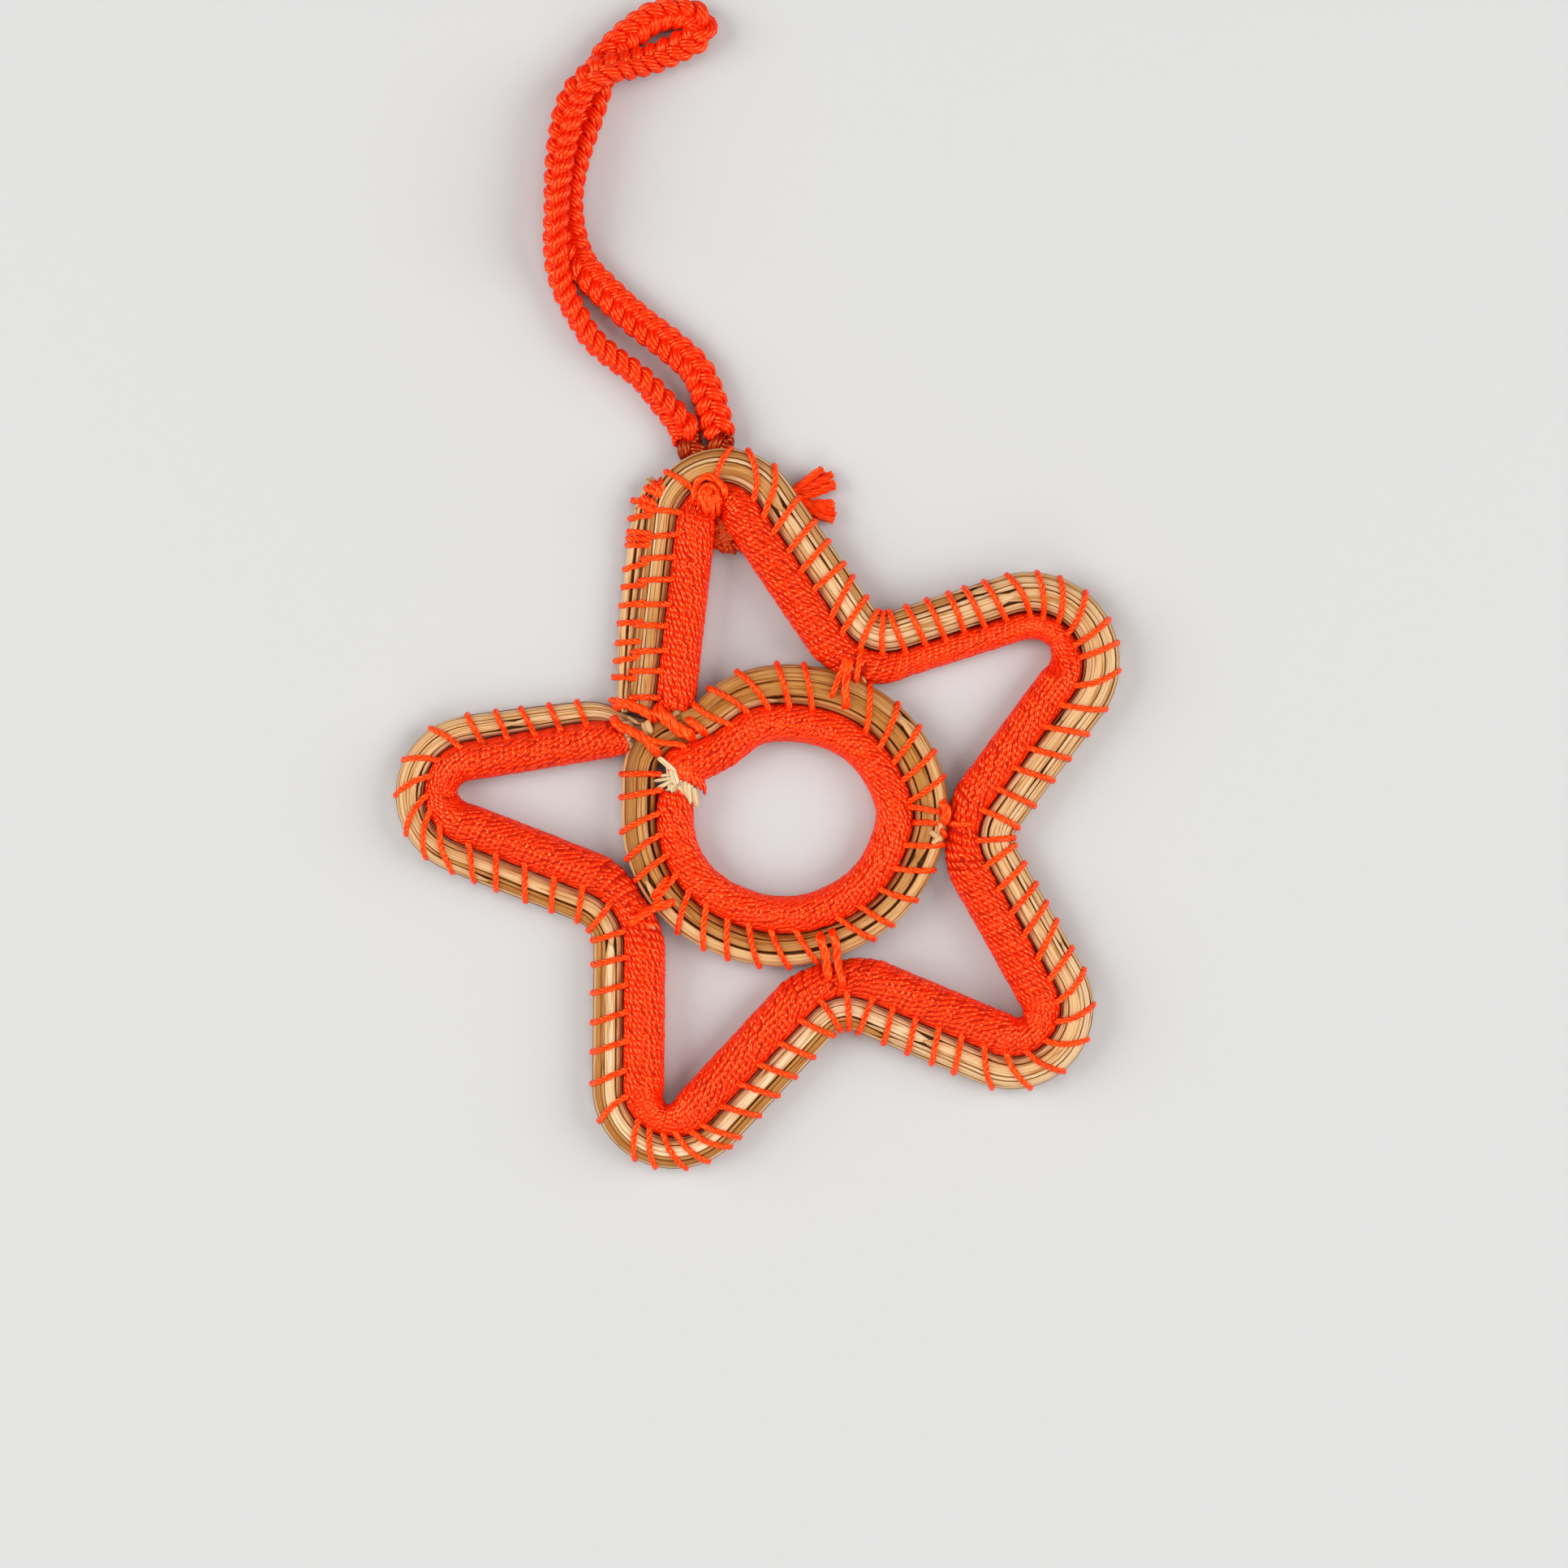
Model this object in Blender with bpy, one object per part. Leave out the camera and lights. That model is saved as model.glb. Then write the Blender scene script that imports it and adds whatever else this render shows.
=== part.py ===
"""Pine needle star ornament, lying flat: coiled needle bundles stitched with nylon twine.

Lengths below are millimetres and angles are degrees. The star and the ring are laid out
round the hub, which is the middle of the ring. At the end the whole ornament is placed so
that the middle of its outline, without the cord, lies over the origin.
"""
import math
from collections import namedtuple

import bmesh
import bpy
from mathutils import Vector

MM = 0.001

# The seam between the wrapped coil and the bare coil goes clockwise round the star. It runs
# outside a round tip, along a straight leg, then inside the rounding of the next notch. Each
# coil has a thickness on the leg before a tip and on the leg after it, and the wrapped coil
# is squeezed thinner in the tip and in the notch.
StarPoint = namedtuple(
    "StarPoint",
    "name tip_angle tip_reach tip_round notch_angle notch_reach notch_round "
    "wrap_before wrap_tip wrap_after wrap_notch bare_before bare_after stitch_pairs",
)
STAR_POINTS = (
    StarPoint("top", 101.8, 41.7, 6.4, 63.9, 33.8, 7.1, 5.7, 4.4, 5.7, 4.6, 3.5, 4.5, 10),
    StarPoint("upper_right", 31.3, 41.3, 7.5, 355.1, 35.4, 7.1, 3.9, 3.8, 5.5, 4.5, 4.9, 4.3, 10),
    StarPoint("lower_right", 320.2, 42.4, 7.0, 286.1, 34.1, 7.1, 5.6, 4.9, 6.0, 4.7, 3.9, 3.9, 9),
    StarPoint("lower_left", 248.4, 41.2, 7.2, 211.4, 35.5, 8.1, 5.9, 4.3, 5.8, 4.4, 3.8, 3.6, 9),
    StarPoint("left", 175.8, 43.1, 7.5, 138.3, 26.3, 2.9, 5.8, 4.6, 5.5, 4.7, 3.6, 3.2, 9),
)
ARC_STEP = 20.0             # turn between two cross-sections of a bend
LEG_OVERRUN = 6.0           # straight seam kept beyond the first and the last leg

# Where the star's coils begin on the top point's left leg and end on the left point's,
# measured along the seam from the ends of those legs.
WRAP_START = 1.4
WRAP_END = 1.8
BARE_START = -1.6

# The second, thinner row of bare coil goes up the left side of the top point, and its end
# is bound with twine.
ROW_THICKNESS = 2.2
ROW_BEND = 2.4
ROW_REACH = 6.0             # along the tip's rounding, past the leg
BINDING_THICKNESS = 2.8
BINDING_LENGTH = 3.4

# The ring is an oval, pressed in a little at the top left, where it is tied to the star.
RING_SEAM_X = 18.0
RING_SEAM_Y = 16.1
RING_MIDDLE = (0.3, -0.2)
RING_DENT = 1.3
RING_DENT_ANGLE = 130.0
RING_DENT_SPREAD = 24.0
RING_WRAP = 5.3
RING_BARE = 4.4
RING_SQUEEZE = 0.3          # the bare coil is this much thinner where a notch presses on it
RING_SQUEEZE_SPREAD = 18.0
RING_FULLNESS = 2.12        # 2 is an ellipse, more fills the corners out
RING_STEP = 12.0
RING_CUT = 159.5            # the cut face of the wrapped ring coil
RING_RESTART = 170.5        # where its other end begins
RING_CUT_SHIFT = 0.9        # the cut end is pushed this far into the hole
RING_CUT_SPREAD = 16.0
CORE_THICKNESS = 4.0
RING_BUTT = 147.5           # the bare coil's two ends meet here, under the top-left tie
RING_BUTT_GAP = 1.4
RING_STITCH_PAIRS = (3, 3, 3, 2, 3)
STITCH_MARGIN = 4.4         # from the middle of a tie to the nearest ring stitch

TWINE = 0.9                 # thickness of the stitching twine
CLEAR = 0.3                 # kept between pieces that touch
FLOOR_CLEAR = 0.05          # kept under the lowest twine
WRAP_SIDES = 8
BARE_SIDES = 6
TWINE_SIDES = 3

TIE_WIDTH = 2.4
TIE_THICKNESS = 0.7
TIE_HOOK = 0.4              # share of the last facet that a tie bends down over
TIE_POST = 0.7
TIE_FLAT_REACH = 3.0        # how far the top-left tie runs on past the ring's bare coil
TIE_SEARCH = 12.0           # degrees to each side in which a notch comes closest to the ring

CORD_THICKNESS = 3.5
CORD_STEP = 3.6
# The cord's route from the top point, round the eye and back: x and y from the hub, and how
# many thicknesses it is lifted off the ground where it rides on its other strand.
CORD_ROUTE = (
    (-13.1, 53.4, 0.0), (-14.2, 55.6, 0.0), (-17.1, 58.9, 0.0), (-19.9, 62.0, 0.0),
    (-23.5, 64.6, 0.0), (-26.7, 67.4, 0.0), (-28.8, 70.7, 0.0), (-30.5, 73.9, 0.07),
    (-31.5, 77.1, 0.44), (-31.7, 80.4, 0.93), (-31.6, 84.2, 1.1), (-31.2, 91.0, 1.1),
    (-30.4, 96.3, 1.1), (-29.5, 99.9, 1.1), (-27.5, 103.0, 1.1), (-24.5, 105.0, 0.93),
    (-20.9, 106.1, 0.41), (-17.2, 107.4, 0.04), (-14.2, 108.8, 0.0), (-11.9, 110.1, 0.0),
    (-11.2, 111.7, 0.0), (-12.5, 113.1, 0.0), (-14.9, 113.5, 0.0), (-17.9, 112.9, 0.0),
    (-20.7, 111.0, 0.0), (-23.1, 108.8, 0.0), (-25.1, 106.2, 0.0), (-26.1, 103.3, 0.0),
    (-27.6, 98.5, 0.0), (-29.3, 93.3, 0.0), (-30.3, 87.7, 0.0), (-29.9, 82.6, 0.0),
    (-28.2, 77.9, 0.0), (-24.6, 74.0, 0.0), (-20.2, 70.0, 0.0), (-15.5, 66.4, 0.0),
    (-11.9, 63.0, 0.0), (-10.1, 58.9, 0.0), (-9.3, 56.2, 0.0), (-8.8, 53.8, 0.0),
)

# Knots: x, y and height of the middle, and size along x, y and z.
CORD_KNOT = (-7.6, 37.8, 1.75)
CORD_KNOT_SIZE = (2.8, 3.8, 3.3)
CROWN_KNOT = (-9.9, 45.6, 7.4)
CROWN_KNOT_SIZE = (3.6, 4.2, 1.6)
KNOT_RIDGE = 0.1
KNOT_TURNS = 3

# Frayed tails: name, x and y of the root, direction and length.
TAILS = (
    ("cord_tail_upper", 4.2, 46.7, 30.0, 3.9),
    ("cord_tail_lower", 5.5, 44.5, -8.0, 3.0),
)
TAIL_ROOT_WIDTH = 1.3
TAIL_TIP_WIDTH = 3.2
TAIL_THICKNESS = 0.9
TAIL_HEIGHT = 0.9
TAIL_STRANDS = 3
TAIL_SPLIT = 0.6            # share of the length at which the strands part

ORANGE = (0.80, 0.055, 0.012)
TAN = (0.52, 0.29, 0.12)
PALE = (0.62, 0.45, 0.25)

Station = namedtuple("Station", "distance point normal wrap bare")


def ray(angle):
    """The unit vector at an angle in degrees."""
    return Vector((math.cos(math.radians(angle)), math.sin(math.radians(angle))))


def mix(start, end, share):
    return start + (end - start) * share


# Layout of the seams

def star_circles():
    """Middle and radius of each rounding; the path turns clockwise round a positive one."""
    circles = []
    for point in STAR_POINTS:
        circles.append((ray(point.tip_angle) * point.tip_reach, point.tip_round))
        circles.append((ray(point.notch_angle) * point.notch_reach, -point.notch_round))
    return circles


def leg_normal(start, start_round, end, end_round):
    """Direction, in degrees, square to the leg that touches two roundings."""
    along = end - start
    off = math.degrees(math.acos((start_round - end_round) / along.length))
    return math.degrees(math.atan2(along.y, along.x)) + off


def bend_radii(index):
    """Wrapped and bare radii at the start, middle and end of a rounding."""
    here = STAR_POINTS[index // 2]
    if index % 2 == 0:
        wraps = (here.wrap_before, here.wrap_tip, here.wrap_after)
        bares = (here.bare_before, mix(here.bare_before, here.bare_after, 0.5), here.bare_after)
    else:
        after = STAR_POINTS[index // 2 + 1]
        wraps = (here.wrap_after, here.wrap_notch, after.wrap_before)
        bares = (here.bare_after, mix(here.bare_after, after.bare_before, 0.5),
                 after.bare_before)
    return [(wrap / 2, bare / 2) for wrap, bare in zip(wraps, bares)]


def star_seam():
    """Stations clockwise along the seam, and the distance to the middle of each notch.

    The distance is zero where the first leg leaves the rounding of the top-left notch.
    """
    circles = star_circles()
    normals = [leg_normal(*circles[i - 1], *circles[i]) for i in range(len(circles))]
    middle, rounding = circles[-1]
    start = middle + ray(normals[0]) * rounding + ray(normals[0] + 90.0) * LEG_OVERRUN
    first = bend_radii(0)[0]
    stations = [Station(-LEG_OVERRUN, start, ray(normals[0]), *first)]
    notches = []

    def add(point, normal, radii):
        step = (point - stations[-1].point).length
        stations.append(Station(stations[-1].distance + step, point, ray(normal), *radii))

    for i in range(len(circles) - 1):
        middle, rounding = circles[i]
        turn = (normals[i + 1] - normals[i]) % 360.0
        if rounding > 0:
            turn -= 360.0
        begin, halfway, end = bend_radii(i)
        steps = math.ceil(abs(turn) / ARC_STEP / 2)
        for k in range(2 * steps + 1):
            normal = normals[i] + turn * k / (2 * steps)
            if k <= steps:
                radii = [mix(a, b, k / steps) for a, b in zip(begin, halfway)]
            else:
                radii = [mix(a, b, k / steps - 1) for a, b in zip(halfway, end)]
            add(middle + ray(normal) * rounding, normal, radii)
            if rounding < 0 and k == steps:
                notches.append(stations[-1].distance)
    middle, rounding = circles[-1]
    finish_point = middle + ray(normals[-1]) * rounding + ray(normals[-1] - 90.0) * LEG_OVERRUN
    last = STAR_POINTS[-1]
    add(finish_point, normals[-1], (last.wrap_after / 2, last.bare_after / 2))
    return stations, notches


def at(stations, distance):
    """The station at a distance, between the two that it lies between."""
    for before, after in zip(stations, stations[1:]):
        if distance <= after.distance:
            break
    share = (distance - before.distance) / (after.distance - before.distance)
    normal = mix(before.normal, after.normal, share).normalized()
    return Station(distance, mix(before.point, after.point, share), normal,
                   mix(before.wrap, after.wrap, share), mix(before.bare, after.bare, share))


def stretch(stations, start, end):
    """The stations from one distance to another, with one at each end."""
    inner = [s for s in stations if start + CLEAR < s.distance < end - CLEAR]
    return [at(stations, start)] + inner + [at(stations, end)]


def ring_spot(angle):
    across = abs(ray(angle).x / RING_SEAM_X) ** RING_FULLNESS
    upwards = abs(ray(angle).y / RING_SEAM_Y) ** RING_FULLNESS
    oval = (across + upwards) ** (-1 / RING_FULLNESS)
    away = (angle - RING_DENT_ANGLE + 180.0) % 360.0 - 180.0
    dent = RING_DENT * math.exp(-(away / RING_DENT_SPREAD) ** 2)
    return Vector(RING_MIDDLE) + ray(angle) * (oval - dent)


def ring_bare(angle):
    """Thickness of the ring's bare coil at an angle."""
    turns = [(angle - point.notch_angle + 180.0) % 360.0 - 180.0 for point in STAR_POINTS]
    squeeze = max(math.exp(-(turn / RING_SQUEEZE_SPREAD) ** 2) for turn in turns)
    return RING_BARE - RING_SQUEEZE * squeeze


def ring_station(angle):
    """The ring's seam at an angle, which also stands for its distance."""
    along = ring_spot(angle + 0.5) - ring_spot(angle - 0.5)
    normal = Vector((along.y, -along.x)).normalized()
    return Station(angle, ring_spot(angle), normal, RING_WRAP / 2, ring_bare(angle) / 2)


def ring_stations(start, end):
    steps = math.ceil((end - start) / RING_STEP)
    return [ring_station(mix(start, end, k / steps)) for k in range(steps + 1)]


def ring_degrees(angle, length):
    """The angle that a length along the ring's bare coil takes up."""
    return math.degrees(length / ((ring_spot(angle) - Vector(RING_MIDDLE)).length + RING_BARE / 2))


# Cross-sections, square to a seam

def space(station, out, height):
    """The point at a distance outwards from the seam and at a height."""
    return (station.point + station.normal * out).to_3d() + Vector((0.0, 0.0, height))


def corner_radius(flat_radius, sides):
    """Radius over the corners of a polygon with this radius over its flats."""
    return flat_radius / math.cos(math.pi / sides)


def coil_section(station, out, height, radius, sides):
    """A polygon with a flat underside."""
    section = []
    for k in range(sides):
        corner = ray(-90.0 + (k + 0.5) * 360.0 / sides) * radius
        section.append(space(station, out + corner.x, height + corner.y))
    return section


def wrapped_out(station):
    return -CLEAR / 2 - station.wrap


def wrapped_section(station, shift=0.0):
    radius = corner_radius(station.wrap, WRAP_SIDES)
    return coil_section(station, wrapped_out(station) - shift, station.wrap, radius, WRAP_SIDES)


def bare_out(station):
    return CLEAR / 2 + station.bare


def bare_height(radius):
    """Height of a bare coil whose stitches just clear the ground."""
    under = (radius + CLEAR + TWINE / 2) * math.cos(math.pi / BARE_SIDES)
    return under + TWINE / 2 + FLOOR_CLEAR


def bare_section(station):
    height = bare_height(station.bare)
    return coil_section(station, bare_out(station), height, station.bare, BARE_SIDES)


def row_out(station, radius):
    """How far out of the seam the middle of a second row lies."""
    return bare_out(station) + station.bare + CLEAR + radius


def row_section(station, radius):
    return coil_section(station, row_out(station, radius), bare_height(radius), radius, BARE_SIDES)


# Solids

def add_object(name, data, finish):
    data.materials.append(finish)
    thing = bpy.data.objects.new(name, data)
    bpy.context.collection.objects.link(thing)
    return thing


def solid(name, mesh, finish):
    """An object from a closed mesh that is laid out in millimetres."""
    bmesh.ops.scale(mesh, vec=(MM, MM, MM), verts=mesh.verts)
    bmesh.ops.recalc_face_normals(mesh, faces=mesh.faces)
    data = bpy.data.meshes.new(name)
    mesh.to_mesh(data)
    mesh.free()
    data.shade_smooth()
    data.set_sharp_from_angle(angle=math.radians(62))
    return add_object(name, data, finish)


def sweep(name, sections, finish):
    """A closed solid through a row of sections that have the same number of corners."""
    mesh = bmesh.new()
    rows = [[mesh.verts.new(corner) for corner in section] for section in sections]
    for row, following in zip(rows, rows[1:]):
        for k in range(len(row)):
            after = (k + 1) % len(row)
            mesh.faces.new((row[k], row[after], following[after], following[k]))
    mesh.faces.new(rows[0])
    mesh.faces.new(rows[-1])
    return solid(name, mesh, finish)


def prism(name, outline, thickness, finish):
    """A flat outline of points in space, thickened to both sides."""
    mesh = bmesh.new()
    face = mesh.faces.new([mesh.verts.new(corner) for corner in outline])
    face.normal_update()
    push = face.normal * thickness
    bmesh.ops.translate(mesh, verts=face.verts, vec=-push / 2)
    grown = bmesh.ops.extrude_face_region(mesh, geom=[face], use_keep_orig=True)
    moved = [item for item in grown["geom"] if isinstance(item, bmesh.types.BMVert)]
    bmesh.ops.translate(mesh, verts=moved, vec=push)
    return solid(name, mesh, finish)


def thread(name, path, finish):
    """A few-sided thread along a path, mitred where it bends."""
    directions = [(b - a).normalized() for a, b in zip(path, path[1:])]
    directions = [directions[0]] + directions + [directions[-1]]
    across = directions[0].orthogonal().normalized()
    sections = []
    for spot, before, after in zip(path, directions, directions[1:]):
        mitre = (before + after).normalized()
        section = []
        for side in range(TWINE_SIDES):
            turn = 2 * math.pi * side / TWINE_SIDES
            arm = across * math.cos(turn) + before.cross(across) * math.sin(turn)
            arm *= TWINE / 2
            section.append(spot + arm - before * (arm.dot(mitre) / before.dot(mitre)))
        sections.append(section)
        across = before.rotation_difference(after) @ across
    return sweep(name, sections, finish)


# The star

def row_start(seam):
    """Seam distances at which the bare coil leaves the last leg and joins its second row.

    Also gives the sections of the bend between them.
    """
    leg, top = seam[-1], seam[0]
    leg_way = Vector((leg.normal.y, -leg.normal.x))
    top_way = Vector((top.normal.y, -top.normal.x))
    leg_line = leg.point + leg.normal * bare_out(leg)
    top_line = top.point + top.normal * row_out(top, ROW_THICKNESS / 2)
    between = top_line - leg_line
    reach = between.cross(top_way) / leg_way.cross(top_way)
    corner = leg_line + leg_way * reach
    turn = leg_way.angle(top_way)
    tangent = ROW_BEND * math.tan(turn / 2)
    middle = corner - leg_way * tangent + leg.normal * ROW_BEND
    steps = math.ceil(math.degrees(turn) / ARC_STEP)
    leg_angle = math.degrees(math.atan2(leg.normal.y, leg.normal.x))
    bend = []
    for k in range(1, steps):
        normal = ray(leg_angle + math.degrees(turn) * k / steps)
        radius = mix(leg.bare, ROW_THICKNESS / 2, k / steps)
        station = Station(0.0, middle - normal * ROW_BEND, normal, 0.0, 0.0)
        bend.append(coil_section(station, 0.0, bare_height(radius), radius, BARE_SIDES))
    leave = leg.distance + reach - tangent
    join = top.distance + (corner + top_way * tangent - top_line).dot(top_way)
    return leave, join, bend


def row_end(seam):
    """Seam distance at which the second row's binding ends; seam[1] ends the first leg."""
    return seam[1].distance + ROW_REACH


def row_radius(seam, distance):
    """Radius of what lies outside the first row, or None past its end."""
    if distance > row_end(seam):
        return None
    bound = distance > row_end(seam) - BINDING_LENGTH
    return (BINDING_THICKNESS if bound else ROW_THICKNESS) / 2


def build_star_coils(seam, twine, needles):
    end = seam[-1].distance - LEG_OVERRUN
    wrapped = stretch(seam, WRAP_START, end - WRAP_END)
    sweep("star_wrapped_coil", [wrapped_section(s) for s in wrapped], twine)

    leave, join, bend = row_start(seam)
    bare = [bare_section(s) for s in stretch(seam, BARE_START, leave)]
    row_stop = row_end(seam) - BINDING_LENGTH
    row = [row_section(s, ROW_THICKNESS / 2) for s in stretch(seam, join, row_stop)]
    sweep("star_bare_coil", bare + bend + row, needles)

    bound = stretch(seam, row_stop + CLEAR, row_end(seam))
    sweep("end_binding", [row_section(s, BINDING_THICKNESS / 2) for s in bound], twine)


# Stitching

def stitch(station, outer_radius=None):
    """A stitch from the top of the seam, over and round the bare coil, to its underside."""
    off = CLEAR + TWINE / 2

    def around(out, radius, angles):
        height = bare_height(radius)
        for angle in angles:
            spot = ray(angle) * (radius + off)
            yield space(station, out + spot.x, height + spot.y)

    inner = bare_out(station)
    if outer_radius is None:
        return list(around(inner, station.bare, (120, 60, 0, -60, -120)))
    outer = row_out(station, outer_radius)
    return [*around(inner, station.bare, (120, 60)),
            *around(outer, outer_radius, (60, 0, -60, -120))]


def zigzag(stitches):
    """One thread through the stitches, first upwards, then downwards, and so on.

    With an even number of stitches between two ties, the thread passes below each tie.
    """
    path = []
    for k, points in enumerate(stitches):
        path += points if k % 2 else points[::-1]
    return path


def build_star_stitching(seam, notches, twine):
    leave = row_start(seam)[0]
    bounds = [BARE_START, *notches, leave]
    stitches = []
    for point, start, end in zip(STAR_POINTS, bounds, bounds[1:]):
        count = 2 * point.stitch_pairs
        for k in range(count):
            distance = mix(start, end, (k + 0.5) / count)
            stitches.append(stitch(at(seam, distance), row_radius(seam, distance)))
    thread("star_stitching", zigzag(stitches), twine)


def build_ring_stitching(tie_angles, twine):
    stitches = []
    bounds = [*tie_angles, tie_angles[0] + 360.0]
    for pairs, start, end in zip(RING_STITCH_PAIRS, bounds, bounds[1:]):
        first = start + ring_degrees(start, STITCH_MARGIN)
        last = end - ring_degrees(end, STITCH_MARGIN)
        for k in range(2 * pairs):
            stitches.append(stitch(ring_station(mix(first, last, k / (2 * pairs - 1)))))
    thread("ring_stitching", zigzag(stitches), twine)


# The ring

def build_ring_coils(twine, needles, cut_needles):
    def cut_shift(angle):
        return RING_CUT_SHIFT * math.exp(-((360.0 + RING_CUT - angle) / RING_CUT_SPREAD) ** 2)

    wrapped = [wrapped_section(s, cut_shift(s.distance))
               for s in ring_stations(RING_RESTART, 360.0 + RING_CUT)]
    sweep("ring_wrapped_coil", wrapped, twine)

    half_gap = ring_degrees(RING_BUTT, RING_BUTT_GAP / 2)
    bare = ring_stations(RING_BUTT + half_gap, 360.0 + RING_BUTT - half_gap)
    sweep("ring_bare_coil", [bare_section(s) for s in bare], needles)

    gap = ring_degrees(RING_CUT, 2 * CLEAR)
    radius = corner_radius(CORE_THICKNESS / 2, WRAP_SIDES)
    stub = []
    for angle, shift in ((RING_CUT + gap, RING_CUT_SHIFT), (RING_RESTART - gap, 0.0)):
        station = ring_station(angle)
        out = wrapped_out(station) - shift
        stub.append(coil_section(station, out, station.wrap, radius, WRAP_SIDES))
    sweep("ring_core_end", stub, cut_needles)


# Ties between the ring and the star

def closest(seam, notch):
    """The ring's station and the star's that come closest at a notch."""
    middle = at(seam, notch)
    away = middle.point - Vector(RING_MIDDLE)
    facing = math.degrees(math.atan2(away.y, away.x)) % 360.0
    best = None
    for turn in range(-int(TIE_SEARCH), int(TIE_SEARCH) + 1):
        near = ring_station(facing + turn)
        near_middle = near.point + near.normal * bare_out(near)
        for slide in range(-int(TIE_SEARCH), int(TIE_SEARCH) + 1):
            far = at(seam, notch + slide * CLEAR)
            far_middle = far.point + far.normal * wrapped_out(far)
            gap = (far_middle - near_middle).length
            if best is None or gap < best[0]:
                best = (gap, near, far, near_middle, far_middle)
    return best


def tie_outline(near_middle, way, radius, far_side, post_out):
    """A band over the ring's bare coil and its neighbour, with a post down between them.

    far_side gives the outline beyond the ring's coil, as distances along way and heights.
    """
    height = bare_height(radius)
    inner = radius + corner_radius(CLEAR, BARE_SIDES)
    outer = inner + corner_radius(TIE_THICKNESS, BARE_SIDES)

    def near(size, angle):
        return ray(angle) * size + Vector((0.0, height))

    low = near(outer, -60).y
    flat = [
        mix(near(outer, 120), near(outer, 180), TIE_HOOK), near(outer, 120), near(outer, 60),
        *far_side,
        Vector((post_out, low)), Vector((0.0, low)), Vector((0.0, low + TIE_THICKNESS)),
        near(inner, -60), near(inner, 0), near(inner, 60), near(inner, 120),
        mix(near(inner, 120), near(inner, 180), TIE_HOOK),
    ]
    return [(near_middle + way * p.x).to_3d() + Vector((0.0, 0.0, p.y)) for p in flat]


def build_notch_tie(name, seam, notch, twine):
    """Builds the tie at a notch and returns the ring's angle there."""
    gap, near, far, near_middle, far_middle = closest(seam, notch)
    middle = Vector((gap, far.wrap))
    inner = far.wrap + CLEAR
    outer = inner + TIE_THICKNESS

    def beyond(flat_radius, angle):
        return middle + ray(angle) * corner_radius(flat_radius, WRAP_SIDES)

    far_side = [
        beyond(outer, 112.5), beyond(outer, 67.5),
        mix(beyond(outer, 67.5), beyond(outer, 22.5), TIE_HOOK),
        mix(beyond(inner, 67.5), beyond(inner, 22.5), TIE_HOOK),
        beyond(inner, 67.5), beyond(inner, 112.5), beyond(inner, 157.5),
    ]
    way = (far_middle - near_middle).normalized()
    outline = tie_outline(near_middle, way, near.bare, far_side, gap - inner)
    prism(name, outline, TIE_WIDTH, twine)
    return near.distance


def build_flat_tie(name, twine):
    """The top-left tie, which runs on flat over the ends of the star's coils."""
    near = ring_station(RING_BUTT)
    inner = near.bare + corner_radius(CLEAR, BARE_SIDES)
    over = bare_height(near.bare) + inner * math.cos(math.pi / BARE_SIDES)
    end = near.bare + TIE_FLAT_REACH
    far_side = [Vector((end, over + TIE_THICKNESS)), Vector((end, over)),
                Vector((inner + TIE_POST, over))]
    near_middle = near.point + near.normal * bare_out(near)
    outline = tie_outline(near_middle, near.normal, near.bare, far_side, inner + TIE_POST)
    prism(name, outline, TIE_WIDTH, twine)


# The cord, its knots and its tails

def smooth_route(points, step):
    """Evenly spaced points on a smooth curve through the given ones."""
    ends = [points[0] * 2 - points[1], *points, points[-1] * 2 - points[-2]]
    fine = []
    for a, b, c, d in zip(ends, ends[1:], ends[2:], ends[3:]):
        for k in range(12):
            t = k / 12
            fine.append(0.5 * (2 * b + (c - a) * t + (2 * a - 5 * b + 4 * c - d) * t ** 2
                               + (3 * b - 3 * c + d - a) * t ** 3))
    fine.append(points[-1])
    travelled = [0.0]
    for a, b in zip(fine, fine[1:]):
        travelled.append(travelled[-1] + (b - a).length)
    count = round(travelled[-1] / step)
    spots, k = [], 0
    for i in range(count + 1):
        goal = travelled[-1] * i / count
        while k < len(fine) - 2 and travelled[k + 1] < goal:
            k += 1
        share = (goal - travelled[k]) / (travelled[k + 1] - travelled[k])
        spots.append(mix(fine[k], fine[k + 1], share))
    return spots


def build_cord(twine):
    route = [Vector((x, y, (lift + 0.5) * CORD_THICKNESS + FLOOR_CLEAR))
             for x, y, lift in CORD_ROUTE]
    curve = bpy.data.curves.new("hanging_cord", "CURVE")
    curve.dimensions = "3D"
    curve.bevel_depth = CORD_THICKNESS / 2 * MM
    curve.bevel_resolution = 2
    curve.use_fill_caps = True
    spots = smooth_route(route, CORD_STEP)
    spline = curve.splines.new("POLY")
    spline.points.add(len(spots) - 1)
    for point, spot in zip(spline.points, spots):
        point.co = (*(spot * MM), 1.0)
    return add_object("hanging_cord", curve, twine)


def build_knot(name, middle, size, twine):
    """A ball with slanting ridges, as of strands pulled tight."""
    mesh = bmesh.new()
    bmesh.ops.create_uvsphere(mesh, u_segments=12, v_segments=7, radius=0.5)
    for corner in mesh.verts:
        along = math.atan2(corner.co.y, corner.co.x)
        ridge = math.cos(KNOT_TURNS * (along + 3 * corner.co.z))
        level = math.hypot(corner.co.x, corner.co.y) * 2
        corner.co *= 1 - KNOT_RIDGE * level * (1 - ridge) / 2
        corner.co = Vector(middle) + Vector([c * s for c, s in zip(corner.co, size)])
    solid(name, mesh, twine)


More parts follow.
